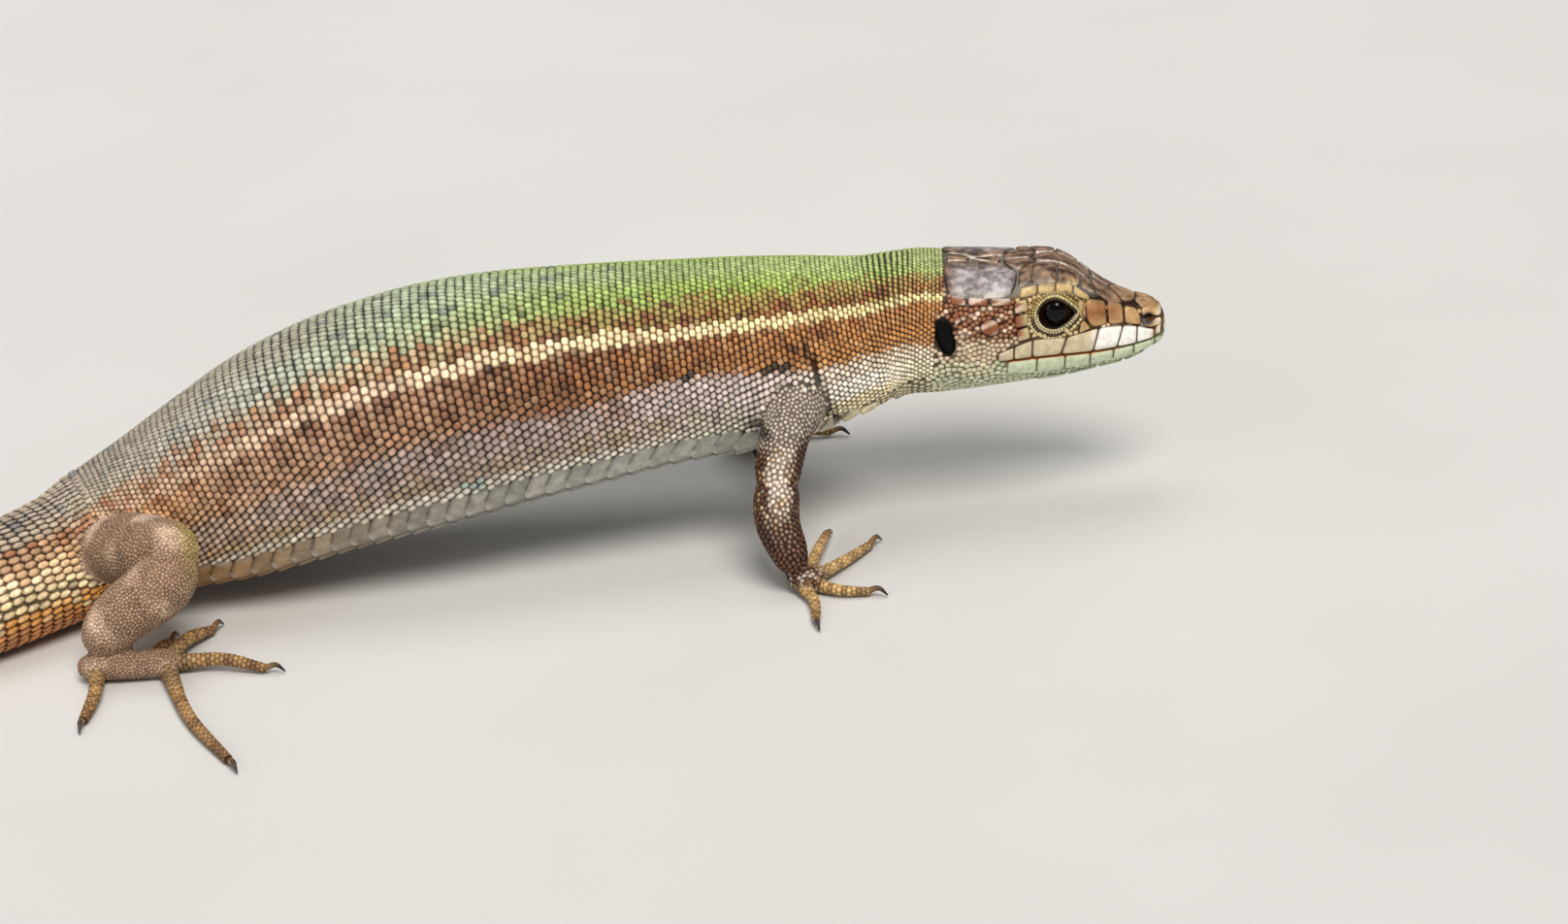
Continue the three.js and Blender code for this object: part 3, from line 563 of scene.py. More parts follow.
BAND_STOPS = [(13, "a36426"), (22, "a06426"), (28, "8e5626"), (34, "824c1e"), (40, "744424"),
              (46, "865a40"), (60, "966e56"), (70, "b87e44"), (78, "f8deb6"), (95, "a07a4e"),
              (198, "84684a")]
FLANK_STOPS = [(13, "cbb8a4"), (20, "d2c4b2"), (26, "bcaeb0"), (34, "a89496"), (40, "887476"),
               (52, "867472"), (64, "967e72"), (74, "fae2b4"), (90, "bc9458"), (130, "a07e52"),
               (198, "8c7048")]
LOW_STOPS = [(13, "ccc09c"), (17, "eee6d0"), (20, "fcf6ea"), (23, "d6ccbc"), (28, "b6aea2"),
             (34, "9c8874"), (46, "857264"), (62, "9c8060"), (73, "dc8c18"), (90, "c47e34"),
             (130, "a8884a"), (198, "907048")]
BELLY_STOPS = [(2, "c4ccac"), (12, "ccd2b4"), (17, "e8dcba"), (20, "fceac0"), (22, "e2d6b4"),
               (26, "c2c0b4"), (36, "b6b4aa"), (46, "aeaa9e"), (56, "ac9a84"), (64, "b48850"),
               (72, "cc7428"), (100, "b87a40"), (198, "a07c50")]
# where the markings begin, in degrees round from the ridge of the back
BACK_EDGE, STRIPE_TOP, BAND_TOP = (4, 22), (47.5, 49.5), (55.5, 57.5)
LOW_TOP, BELLY_TOP, BLUE_ROW = (95, 101), (113, 117), 111
# by the distance from the snout: how they wander, the brown row's start and the band's end
WANDERING = ([22, 31, 38, 46, 55, 66, 72], [0, 2, 1.5, 0, -2.5, -2.5, 0])
ROW_START = ([14, 22, 28, 34, 60], [18, 19, 21, 25, 27])
BAND_END = ([14, 20, 24, 28, 34, 38, 48, 60, 72], [90, 88, 86, 80, 82, 87, 83, 84, 80])
# dark blotches: distance from the snout, degrees round, half length, half width
BLOTCH, SMALL_BLOTCH = (25.3, 80.5, 1.6, 1.9), (30.6, 77, 0.35, 3)
# the dark of blotches and spots, also used as painted shadow behind the right arm
FLECK_AND_SHADOW = dye("1c100a")
BLUE_SPOT = dye("6d9a9a")
BACK_CLOUD = dye("4c5c66")
# painted shadow in the crease before the arm
FOLD_SHADOW = dye("1a120c")
STREAK = dye("d8d6cc")
ROW_DEEPENING = np.array((0.8, 0.56, 0.42))
BAND_DEEPENING = np.array((0.62, 0.42, 0.32))
# painted shadow in the hollow behind the right arm: its middle, reach and share
ARMPIT_SHADOW = np.array((-1.0, -6.1, 9.6))
ARMPIT_SHADOW_REACH = np.array((1.3, 3, 0.55))
ARMPIT_SHADOW_SHARE = 0.85


def armpit_shadow(roots):
    """The share of painted shadow, in the colour of the flecks, in the hollow behind the right arm."""
    return ARMPIT_SHADOW_SHARE * step(np.linalg.norm((roots - ARMPIT_SHADOW) / ARMPIT_SHADOW_REACH, axis=-1), 1.1, 0.6)


def in_blotch(at, around, blotch):
    middle, turn, long, wide = blotch
    return np.hypot((at - middle) / long, (around - turn) / wide) < 1


def trunk_pigment(at, turn, roots, chance):
    """Green back, brown row, pale stripe, brown band, lilac flank and pale belly, with painted shadow behind
    the right arm and in the crease before it.
    """
    around = np.degrees(np.abs(turn))
    wave = around + np.interp(at, *WANDERING)
    wave = wave + 1.4 * ripple(roots, 2.1) + 3 * (chance - 0.5)
    back = mix(ramp(at, RIDGE_STOPS), ramp(at, BACK_STOPS), step(wave, *BACK_EDGE))
    cloud = step(ripple(roots, 1.2) + 0.6 * (chance - 0.5), 0.5, 0.9)
    cloud = cloud * step(at, 26, 40) * step(around, 30, 20)
    back = mix(back, BACK_CLOUD, 0.7 * cloud)
    patch = ripple(roots, 0.62) + 1.1 * (chance - 0.5)
    row = ramp(at, ROW_STOPS)
    dark = step(patch + 0.07 * (wave - 40), -0.1, 0.6)
    row = mix(1.1 * mix(row, back, 0.2), row * ROW_DEEPENING, dark)
    colour = mix(back, row, step(wave - np.interp(at, *ROW_START) + 5 * patch, 0, 14))
    worn = 0.45 * step(ripple(roots, 1.1), 0.35, 0.9) * step(at, 26, 34)
    colour = mix(colour, ramp(at, STRIPE_STOPS), step(wave, *STRIPE_TOP) * (1 - worn))
    band = ramp(at, BAND_STOPS)
    deep = step(ripple(roots, 0.9) + 0.8 * (chance - 0.5) + 0.6 * step(wave, 64, 58), 0.15, 0.8)
    band = mix(1.1 * band, band * BAND_DEEPENING, 0.8 * deep)
    band = mix(band, ramp(at, STRIPE_STOPS), 0.12 * step(chance, 0.8, 0.95))
    colour = mix(colour, band, step(wave, *BAND_TOP))
    flank = ramp(at, FLANK_STOPS)
    cloud = step(ripple(roots, 1.3) + 0.8 * (chance - 0.5), 0.1, 0.8) * step(at, 22, 32)
    flank = mix(flank, ramp(at, BAND_STOPS), 0.5 * cloud)
    flank = flank * (1.15 - 0.4 * step(ripple(roots, 0.7) + 1.2 * (chance - 0.5), 0.2, 0.9))[..., None]
    colour = mix(colour, flank, step(wave - np.interp(at, *BAND_END), -3, 4))
    low = ramp(at, LOW_STOPS)
    cloud = step(ripple(roots, 0.8) + 1.2 * (chance - 0.5), 0, 0.6) * step(at, 22, 26)
    low = mix(low, ramp(at, FLANK_STOPS), 0.8 * cloud)
    low = mix(low, STREAK, 0.6 * step(around, 107, 112) * step(at, 26, 30) * step(at, 68, 62))
    colour = mix(colour, low, step(wave, *LOW_TOP))
    colour = mix(colour, ramp(at, BELLY_STOPS), step(around, *BELLY_TOP))
    blotch = (in_blotch(at, around, BLOTCH) & (chance > 0.3)) | in_blotch(at, around, SMALL_BLOTCH)
    spots = (ripple(roots, 0.9) > 0.8) & (chance > 0.6) & (around > 20) & (around < 100)
    # dark blotches and spots, and the painted shadow behind the right arm
    colour = mix(colour, FLECK_AND_SHADOW, np.maximum(0.92 * blotch + 0.55 * (spots & ~blotch), armpit_shadow(roots)))
    blue = (ripple(roots, 1.4) > 0.5) & (np.abs(around - BLUE_ROW) < 4) & (at > 37) & (at < 52)
    colour = mix(colour, BLUE_SPOT, 0.6 * blue * (chance > 0.3))
    # painted shadow in the crease before the arm
    return mix(colour, FOLD_SHADOW, 0.9 * step(arm_fold(at, around), 0.08, 0.6))


LIMB_DYES = {
    "fore": [dye(code) for code in ("623418", "fceadc", "b88c48")],
    "hind": [dye(code) for code in ("9c7e68", "dcbea8", "b0a04c")],
}
SHOULDER = dye("ccbeb2")
FOOT_DYE = dye("92764e")
TOE_DYES = {"fore": [dye("dcb274"), dye("5c3a1c")], "hind": [dye("b88c58"), dye("5e3a1e")]}


def limb_pigment(leg, length, turn, roots, chance):
    """Brown legs with pale scales, warmer on their front edge."""
    brown, pale, warm = LIMB_DYES[leg[:4]]
    fore, hand = leg.startswith("fore"), RIGHT if leg.endswith("right") else LEFT
    mottle = step(ripple(roots, 0.8) + 0.9 * (chance - 0.5), -0.2, 0.8)
    brown = mix(brown, 0.5 * brown, (0.75 if fore else 0.2) * mottle)
    if fore:
        outer = -roots[..., 1] * hand
        middle = np.exp(-((turn * -hand - 1.5) / 0.8) ** 2)
        share = step(middle + 0.5 * (chance - 0.5) + 0.25 * ripple(roots, 1.1), 0.35, 0.9)
        share = share * np.interp(roots[..., 2], [2.8, 4.8, 5.6, 9], [0.02, 0.14, 0.95, 0.85])
        share = np.maximum(share, 0.5 * (length == "foot") * step(chance, 0.4, 0.7))
        colour = mix(brown, pale, share)
        colour = mix(colour, warm, 0.6 * step(chance, 0.75, 0.85) * step(roots[..., 2], 4, 5.4))
        shoulder = step(roots[..., 2], 8.4, 9.6) * step(outer, 11, 9)
        colour = mix(colour, mix(SHOULDER, brown, 0.35 * step(chance, 0.6, 0.8)), shoulder)
        # painted shadow behind the right arm
        return mix(colour, FLECK_AND_SHADOW, armpit_shadow(roots))
    share = step(ripple(roots, 1.5) + 0.25 * (chance - 0.5), 0.1, 0.9)
    colour = mix(brown, pale, 0.8 * share)
    front = step(roots[..., 0] + 0.35 * (roots[..., 2] - 7), -38.0, -36.3) * (length != "foot")
    return mix(colour, warm, 0.75 * front)


def toe_pigment(leg, along, chance):
    """Yellow-brown toes, the colour of the foot at their roots, with dark joints."""
    pale, dark = TOE_DYES[leg[:4]]
    colour = mix(pale, dark, 0.55 * step(along, 0.5, 1) + 0.3 * (chance - 0.5) + 0.1)
    joints = np.abs(((along * 4.2) % 1) - 0.5) < 0.12
    colour = mix(colour, dark, 0.5 * joints)
    return mix(FOOT_DYE, colour, step(along, 0.05, 0.35))


# ---- scales ----------------------------------------------------------------

# a scale's patch of the unwrap, and its reach in its own units
PATCH = 0.003
SCALE_REACH = 1.2
# painted light of a scale by its height: painted shade at its root and shoulder, a painted highlight on its
# crown
SHADE_HEIGHTS = [-1.2, 0.4, 1]
CROWN_SHADE = [0.09, 0.26, 1.4]
SOFT_SHADE = [0.3, 0.75, 1.15]
SMOOTH_SHADE = [0.55, 0.88, 1.12]
# how much deeper the colour grows in the painted shade of a scale's rim
RIM_DEPTH = 0.45
# a pale tip on each scale's crown, partly its own colour and partly a painted highlight: its colour, its
# share at the crown and the height where it begins
PALE_TIP_AND_HIGHLIGHT = dye("f2dcae")
TIP_SHARE = 0.3
TIP_START = 0.6
PALE_DYE = 0.3
KEEL_WIDTH = 0.1
NUDGE = 0.04
# a root this far off the skin is under another part of the body
BURIED = 0.3
TURNED = 0.975

# roots and colours of all scales, from which the skin is coloured
coat_roots, shield_roots = [], []


class Coat:
    """Scales gathered into one mesh, each with one colour and one small patch of the unwrap."""

    def __init__(self, name):
        self.name = name
        self.points, self.faces, self.dyes, self.patches, self.count = [], [], [], [], 0

    def add(self, points, faces, dyes, patches):
        self.points.append(points.reshape(-1, 3))
        self.faces.append(faces.reshape(-1, 3) + self.count)
        self.dyes.append(np.broadcast_to(dyes, points.shape).reshape(-1, 3))
        self.patches.append(np.broadcast_to(patches, points.shape[:-1] + (2,)).reshape(-1, 2))
        self.count += points.size // 3

    def build(self, material):
        points, faces = metres(np.vstack(self.points)), np.vstack(self.faces).astype(np.int32)
        patches = np.vstack(self.patches)[faces.ravel()].astype(np.float32)
        mesh = bpy.data.meshes.new(self.name)
        mesh.vertices.add(len(points))
        mesh.vertices.foreach_set("co", points.astype(np.float32).ravel())
        mesh.loops.add(faces.size)
        mesh.loops.foreach_set("vertex_index", faces.ravel())
        mesh.polygons.add(len(faces))
        mesh.polygons.foreach_set("loop_start", np.arange(0, faces.size, 3, dtype=np.int32))
        mesh.uv_layers.new(name="OFBake").data.foreach_set("uv", patches.ravel())
        paint(mesh, np.vstack(self.dyes))
        mesh.update(calc_edges=True)
        mesh.materials.append(material)
        piece = bpy.data.objects.new(self.name, mesh)
        bpy.context.collection.objects.link(piece)
        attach(piece, "root")
        return piece


def paint(mesh, dyes):
    colours = mesh.color_attributes.new(name="pigment", type="FLOAT_COLOR", domain="POINT")
    rows = np.ones((len(dyes), 4), np.float32)
    rows[:, :3] = dyes
    colours.data.foreach_set("color", rows.ravel())


def ring_faces(sides, rings):
    """Triangles over rings of points that follow each other, closed by one last point."""
    faces = []
    for ring in range(rings - 1):
        for i in range(sides):
            a, b = ring * sides + i, ring * sides + (i + 1) % sides
            faces += [(a, b, b + sides), (a, b + sides, a + sides)]
    last = (rings - 1) * sides
    faces += [(last + i, last + (i + 1) % sides, last + sides) for i in range(sides)]
    return np.array(faces)


def dome(sides, rings, square=2.0, keel=0.0, top=1.0):
    """One scale: rings of points from its sunk root up to its crown, x along and y across."""
    angles = np.arange(sides) * 2 * math.pi / sides
    reach = (np.abs(np.cos(angles)) ** square + np.abs(np.sin(angles)) ** square) ** (-1 / square)
    points = [(size * r * math.cos(a), size * r * math.sin(a),
               height + keel * (abs(math.sin(a)) < KEEL_WIDTH))
              for size, height in rings for a, r in zip(angles, reach)]
    points.append((0, 0, top + keel))
    return np.array(points), ring_faces(sides, len(rings))


GRANULE = dome(8, [(1, -1.2), (0.94, 0.15), (0.62, 0.78)], square=3.0, keel=0.06, top=0.97)
TILE = dome(12, [(1, -1.2), (0.93, 0.35), (0.6, 0.85)], square=4.5, keel=0.45)
OVAL = dome(8, [(1, -1.2), (0.86, 0.5)], square=2.3)
FINE = dome(6, [(1, -1.2), (0.86, 0.5)])
PEBBLE = dome(8, [(1, -1.2), (0.92, 0.4), (0.6, 0.88)], square=2.4)


def frames(surface, a, b, inside):
    """Root, lie and outward direction of a surface at two coordinates."""
    root = surface(a, b)
    lie = unit(surface(a + NUDGE, b) - surface(a - NUDGE, b))
    across = surface(a, b + NUDGE) - surface(a, b - NUDGE)
    out = unit(np.cross(lie, across))
    out = np.where(np.sum(out * (root - inside), axis=-1, keepdims=True) < 0, -out, out)
    return root, lie, out


# the trunk's number among the owners of the skin; a limb's is its place in ALL_LIMBS
TRUNK = -1


class SkinMap:
    """Finds the nearest point of the skin, its outward direction, and the part of the body there."""

    def __init__(self, skin):
        mesh = skin.data
        at, turn = grid(np.arange(0.2, TRUNK_LENGTH, 0.6), np.arange(-180, 180, 6) * math.pi / 180)
        samples = [skin_point(at, turn)]
        owners = [np.full(len(at), TRUNK)]
        along, turn = grid(np.linspace(0.01, 0.99, 26), np.arange(-180, 180, 12) * math.pi / 180)
        for owner, limb in enumerate(ALL_LIMBS):
            depth = COAT_DEPTH if owner < len(leg_lengths) else TOE_COAT_DEPTH
            samples.append(limb.point(along, turn, -depth))
            owners.append(np.full(len(along), owner))
        self.owner_of = np.concatenate(owners)
        self.owner_tree = search_tree(np.vstack(samples))
        self.points = own_points(skin)
        normals = np.empty(len(mesh.vertices) * 3, np.float32)
        mesh.vertices.foreach_get("normal", normals)
        self.normals = normals.reshape(-1, 3)
        self.corners = [tuple(face.vertices) for face in mesh.polygons]
        self.tree = BVHTree.FromPolygons(self.points.tolist(), self.corners)
        self.middles = np.array([self.points[list(face)].mean(axis=0) for face in self.corners])
        self.face_owners = self.owners(self.middles)

    def normal(self, face):
        return unit(self.normals[list(self.corners[face])].mean(axis=0))

    def settle(self, roots, out):
        """Sets roots onto the skin and drops those buried under another part of the body."""
        roots, out = roots.copy(), out.copy()
        kept = np.ones(len(roots), bool)
        for i, root in enumerate(roots):
            place, _, face, gap = self.tree.find_nearest(root)
            normal = self.normal(face)
            kept[i] = gap < BURIED
            roots[i] = place
            if normal @ out[i] < TURNED:
                out[i] = normal
        return roots, out, kept

    def owners(self, points):
        return self.owner_of[[self.owner_tree.find(point)[1] for point in points]]

    def look(self, starts, ahead):
        """Where straight lines meet the skin."""
        hits = [self.tree.ray_cast(start, ahead) for start in starts]
        return np.array([hit[0] if hit[0] is not None else (np.nan,) * 3 for hit in hits]), \
            np.array([hit[1] if hit[1] is not None else (0, 0, 1) for hit in hits])


def scatter(coat, template, roots, lie, out, sizes, dyes, patches, tilt=0.0, tone=0.0,
            shades=CROWN_SHADE, contrast=1.0, lightness=1.0):
    """Copies a scale onto every root, turned along the lie of the coat.

    tilt raises its rear edge, tone is how much its brightness varies from scale to scale, shades
    and contrast give the painted shade and highlight over its height, and lightness is that of the
    painted shade of the skin between the scales.
    """
    shape, faces = template
    across = unit(np.cross(out, lie))
    lie = np.cross(across, out)
    long, wide, high = (np.broadcast_to(size, len(roots))[:, None, None] for size in sizes)
    x, y, z = (shape[None, :, i:i + 1] for i in range(3))
    points = roots[:, None] + lie[:, None] * x * long + across[:, None] * y * wide \
        + out[:, None] * (z * high + tilt * x * long)
    shade = (1 + tone * (draw.random(len(roots)) - 0.5))[:, None, None]
    contrast = np.broadcast_to(contrast, len(roots))[:, None, None]
    # painted shade down the sides of each scale and a painted highlight on its crown, raised by contrast
    shade = shade * np.interp(shape[:, 2], SHADE_HEIGHTS, shades)[None, :, None] ** contrast
    rows = np.arange(len(roots))[:, None, None] * len(shape)
    # the pale tip and painted highlight of the crown, fainter on dark scales
    bright = np.clip(dyes.mean(axis=1) / PALE_DYE, 0.2, 1)[:, None]
    tip = np.interp(shape[:, 2], [TIP_START, 1], [0, TIP_SHARE])[None] * bright
    # the painted shade of the rim also deepens its colour
    deeper = 1 + RIM_DEPTH * np.clip(1 - shade, 0, 1)
    spots = patches[:, None] + PATCH / 2 * shape[None, :, :2] / SCALE_REACH
    coat.add(points, faces[None] + rows, mix(dyes[:, None] ** deeper * shade, PALE_TIP_AND_HIGHLIGHT, tip), spots)
    coat_roots.append((roots, lightness * dyes))


FAN_STEPS = 80


def granule_rows(start, end, columns, edges, pitch):
    """Quincunx rows over the back and both sides, from the ridge down to an edge on each side."""
    at, ats, turns, gaps, odd = start, [], [], [], 0
    while at < end:
        low, high = edges(at)
        fan = np.linspace(low, high, FAN_STEPS)
        runs = np.linalg.norm(np.diff(skin_point(at, fan), axis=0), axis=1)
        arc = np.concatenate(([0], np.cumsum(runs)))
        gap = arc[-1] / columns
        steps = (np.arange(columns) + 0.5 * odd) * gap
        turn = np.interp(steps, arc, fan)
        both = np.concatenate((turn, -turn[0 if odd or low > 0 else 1:]))
        ats.append(np.full(len(both), at))
        turns.append(both)
        gaps.append(np.full(len(both), gap))
        at += pitch(at) * gap
        odd = 1 - odd
    return np.concatenate(ats), np.concatenate(turns), np.concatenate(gaps)


def trunk_inside(at):
    return read_trunk(at)[..., :3]


def trunk_unwrap(at, turn):
    """Where a scale's patch lies in the unwrap: along the body and round it."""
    return np.stack((0.01 + 0.98 * (at - at.min()) / np.ptp(at), 0.5 + turn / 6.4), axis=-1)


COLUMNS = 29
GRANULE_START = 13.9
FLANK_SLANT = 0.45
# how much stronger each scale's painted shade and highlight grow on the flank
FLANK_CONTRAST = 0.9
BELLY_EDGE = math.radians(118)
THROAT_EDGE = math.radians(121)
ARM_EDGE = math.radians(133)
VENT_EDGE = math.radians(108)
# unevenness, as shares of the gap between scales: along the body, round it and in size
ALONG_JITTER, TURN_JITTER, SIZE_JITTER = 0.1, 0.06, 0.12
BODY_RADIUS = 5


def trunk_coat(coat, template, rows, sizes, height, tilt, tone, skin_map, keep, slant=0.0):
    """Scales of the trunk. On the flank they lengthen and slant down to the rear."""
    at, turn, gap = rows
    at = at + ALONG_JITTER * gap * (draw.random(len(at)) - 0.5)
    turn = turn + TURN_JITTER * gap / BODY_RADIUS * (draw.random(len(at)) - 0.5)
    roots, lie, out = frames(skin_point, at, turn, trunk_inside(at))
    roots, out, kept = skin_map.settle(roots, out)
    kept &= (skin_map.owners(roots) == TRUNK) & keep(at, turn)
    at, turn, gap, roots, lie, out = keep_only(kept, at, turn, gap, roots, lie, out)
    around = np.degrees(np.abs(turn))
    flank = step(around, 72, 82) * slant
    down = unit(skin_point(at, turn + np.where(turn < 0, -NUDGE, NUDGE)) - skin_point(at, turn))
    lie = unit(lie * np.cos(flank)[:, None] + down * np.sin(flank)[:, None])
    chance = draw.random(len(at))
    grow = 1 + SIZE_JITTER * (draw.random(len(at)) - 0.5)
    long = sizes[0](at) * (1 + 0.5 * flank + 0.14 * step(around, 40, 15))
    sizes = (long * gap * grow, sizes[1] * gap * grow * (1 - 0.35 * flank), height * gap)
    dyes = trunk_pigment(at, turn, roots, chance)
    # stronger painted shade and highlight on the flank
    contrast = 1 + FLANK_CONTRAST * step(around, 74, 82)
    scatter(coat, template, roots, lie, out, sizes, dyes, trunk_unwrap(at, turn), tilt, tone,
            contrast=contrast)


def row_pitch(at):
    """The distance between the rows of the trunk, as a share of that between the scales in a row."""
    return np.interp(at, [14, 22, 33, 46, 60], [0.72, 0.76, 0.9, 0.98, 1.1])


def flank_edges(at):
    return 0, np.interp(at, [16, 19, 24, 27.5, 60, 73],
                        [THROAT_EDGE, ARM_EDGE, ARM_EDGE, BELLY_EDGE, BELLY_EDGE, VENT_EDGE])


def tail_start(turn):
    """Where the tail's whorls take over from the granules: further forward on the back."""
    return np.interp(np.degrees(np.abs(turn)), [30, 85, 108, 116, 146, 156],
                     [70, 71.5, VENT_AT, VENT_AT - 1, VENT_AT - 1, VENT_AT])


def takes_granules(at, turn):
    back, _, up = head_place(skin_point(at, turn))
    kept = (at > head_end(up)) & ~in_ear(back, up, 0.1) & (at < tail_start(turn) + 0.1)
    return kept & (arm_fold(at, np.degrees(np.abs(turn))) < 0.6)


def coat_body(skin_map, material):
    """Granules from the nape to the vent, the left side apart from the right one."""
    rows = granule_rows(GRANULE_START, VENT_AT, COLUMNS, flank_edges, row_pitch)
    for name, side in SIDES:
        chosen = (rows[1] > 0) == (side == RIGHT)
        coat = Coat(f"body_granules_{name}")
        trunk_coat(coat, GRANULE, keep_only(chosen, *rows), (lambda at: 0.54 * row_pitch(at), 0.64),
                   height=0.22, tilt=0.1, tone=0.5, skin_map=skin_map, keep=takes_granules,
                   slant=FLANK_SLANT)
        coat.build(material)


def tail_pitch(at):
    return np.interp(at, [69, 72, 76, 84, 110, 160, 198], [0.56, 0.6, 0.8, 0.98, 1.2, 1.15, 0.7])


def tail_scale_width(at):
    return np.interp(at, [69, 72, 77, 90, 198], [0.46, 0.48, 0.56, 0.6, 0.4])


LEAST_IN_WHORL = 7


def coat_tail(skin_map, material):
    """Whorls of keeled scales, from the vent to the tip of the tail."""
    at = tail_start(0) - 0.15
    parts = []
    while at < TRUNK_LENGTH - 0.2:
        pitch = tail_pitch(at)
        radius = read_trunk(at)[5]
        count = max(LEAST_IN_WHORL, round(2 * math.pi * radius / tail_scale_width(at)))
        turn = (np.arange(count) + 0.5) * 2 * math.pi / count - math.pi
        parts.append((np.full(count, at), turn, np.full(count, pitch), np.full(count, radius / count)))
        at += pitch
    at, turn, pitch, share = (np.concatenate(part) for part in zip(*parts))
    roots, lie, out = frames(skin_point, at, turn, trunk_inside(at))
    roots, out, kept = skin_map.settle(roots, out)
    kept &= (at > tail_start(turn) - 0.16) & (skin_map.owners(roots) == TRUNK)
    at, turn, pitch, share, roots, lie, out = keep_only(kept, at, turn, pitch, share, roots, lie, out)
    dyes = trunk_pigment(at, turn, roots, draw.random(len(at)))
    coat = Coat("tail_whorls")
    scatter(coat, TILE, roots, lie, out, (0.53 * pitch, 0.49 * 2 * math.pi * share, 0.11),
            dyes, trunk_unwrap(at, turn), tilt=0.14, tone=0.4)
    coat.build(material)


# roots tried on each face, how close two may start, how far and how much they push apart
CANDIDATES = 4
CLOSEST = 0.8
PUSH_REACH = 1.25
PUSH_SHARE = 0.3


def packed_roots(skin_map, faces, spacing, rounds=6):
    """Spreads roots evenly over some faces of the skin, each a spacing of its place apart."""
    corners = np.array([skin_map.points[list(skin_map.corners[face][:3])] for face in faces])
    shares = draw.dirichlet((1, 1, 1), (CANDIDATES, len(faces)))
    centres = np.einsum("cfk,fkx->cfx", shares, corners).reshape(-1, 3)
    centres = centres[draw.permutation(len(centres))]
    gaps = spacing(centres)
    cell, taken, roots = gaps.max(), {}, []
    for centre, gap in zip(centres, gaps):
        home = tuple((centre // cell).astype(int))
        near = [root for dx in (-1, 0, 1) for dy in (-1, 0, 1) for dz in (-1, 0, 1)
                for root in taken.get((home[0] + dx, home[1] + dy, home[2] + dz), ())]
        if all((centre[0] - x) ** 2 + (centre[1] - y) ** 2 + (centre[2] - z) ** 2 > (CLOSEST * gap) ** 2
               for x, y, z in near):
            taken.setdefault(home, []).append(tuple(centre))
            roots.append(centre)
    roots = np.array(roots)
    for _ in range(rounds):
        tree, moved = search_tree(roots), roots.copy()
        for i, (root, gap) in enumerate(zip(roots, spacing(roots))):
            reach = PUSH_REACH * gap
            near = [index for _, index, _ in tree.find_range(root, reach) if index != i]
            if near:
                apart = root - roots[near]
                far = np.linalg.norm(apart, axis=1)[:, None]
                moved[i] = root + PUSH_SHARE * gap * np.sum(apart / far * (1 - far / reach), axis=0)
        roots = np.array([skin_map.tree.find_nearest(root)[0] for root in moved])
    out = [skin_map.normal(skin_map.tree.find_nearest(root)[2]) for root in roots]
    return roots, np.array(out), spacing(roots)


def limb_place(limb, points):
    """How far along a limb points lie, the turn round it, and the run of the limb there."""
    nearest = np.argmin(np.linalg.norm(points[:, None] - limb.curve[None, ::3], axis=-1), axis=1) * 3
    centre, run = limb.curve[nearest], limb.slopes[nearest]
    side = unit(np.cross(run, limb.up))
    over = np.cross(side, run)
    arm = points - centre
    turn = np.arctan2(-np.sum(arm * side, axis=-1), np.sum(arm * over, axis=-1))
    return limb.arc[nearest], turn, run


LEG_SCALE = {"upper": 0.34, "lower": 0.31, "foot": 0.29}
HIND_FINER = 0.7
# a pair's scale, its height, unevenness, painted shade and highlight, and how light the painted shade of the
# skin between scales is
LEG_COATS = {
    "fore": (OVAL, 0.24, 0.4, CROWN_SHADE, 1.6),
    "hind": (FINE, 0.16, 0.3, SMOOTH_SHADE, 3.5),
}
TOE_PITCH = 0.3
# how close to the floor scales may root
LOWEST_LEG_SCALE, LOWEST_TOE_SCALE = 0.1, 0.05
# each limb has a tile of the unwrap: how many in a row, and their pitch
LEG_TILES = (4, np.array((0.25, 0.33)))
TOE_TILES = (5, np.array((0.2, 0.25)))


def limb_unwrap(index, tiles, along, turn):
    in_row, pitch = tiles
    place = np.stack((0.04 + 0.92 * along, 0.5 + turn / 6.8), axis=-1)
    return np.array((index % in_row, index // in_row)) * pitch + place * (pitch - 0.01)


def coat_legs(skin_map, material):
    for pair in ("fore", "hind"):
        for hand, _ in SIDES:
            coat = Coat(f"{pair}_leg_scales_{hand}")
            for index, (leg, length) in enumerate(leg_lengths):
                if leg == f"{pair}_{hand}":
                    add_leg_scales(coat, skin_map, index, leg, length)
            coat.build(material)


def add_leg_scales(coat, skin_map, index, leg, length):
    faces = np.flatnonzero(skin_map.face_owners == index)
    roots, out, gap = packed_roots(skin_map, faces, lambda p: leg_spacing(p, leg, length))
    roots, out, gap = keep_only(roots[:, 2] > LOWEST_LEG_SCALE, roots, out, gap)
    along, turn, run = limb_place(leg_lengths[leg, length], roots)
    dyes = limb_pigment(leg, length, turn, roots, draw.random(len(roots)))
    template, high, tone, shades, lightness = LEG_COATS[leg[:4]]
    scatter(coat, template, roots, in_surface(run, out), out, (0.65 * gap, 0.57 * gap, high * gap),
            dyes, limb_unwrap(index, LEG_TILES, along, turn), tilt=0.14, tone=tone, shades=shades,
            lightness=lightness)


def leg_spacing(points, leg, length):
    if leg.startswith("hind"):
        return np.full(len(points), LEG_SCALE[length] * HIND_FINER)
    return LEG_SCALE[length] * np.interp(points[:, 2], [7.6, 8.8], [1, 0.8])


def toe_rows(limb, pitch, count=6):
    stations = np.arange(0.04, 0.97, pitch / limb.length)
    along, column = np.meshgrid(stations, np.arange(count), indexing="ij")
    turn = (column + 0.5 * (np.arange(len(stations)) % 2)[:, None]) * 2 * math.pi / count - math.pi
    return along.ravel(), turn.ravel(), 2 * math.pi * limb.radius(along.ravel())[:, 0] / count


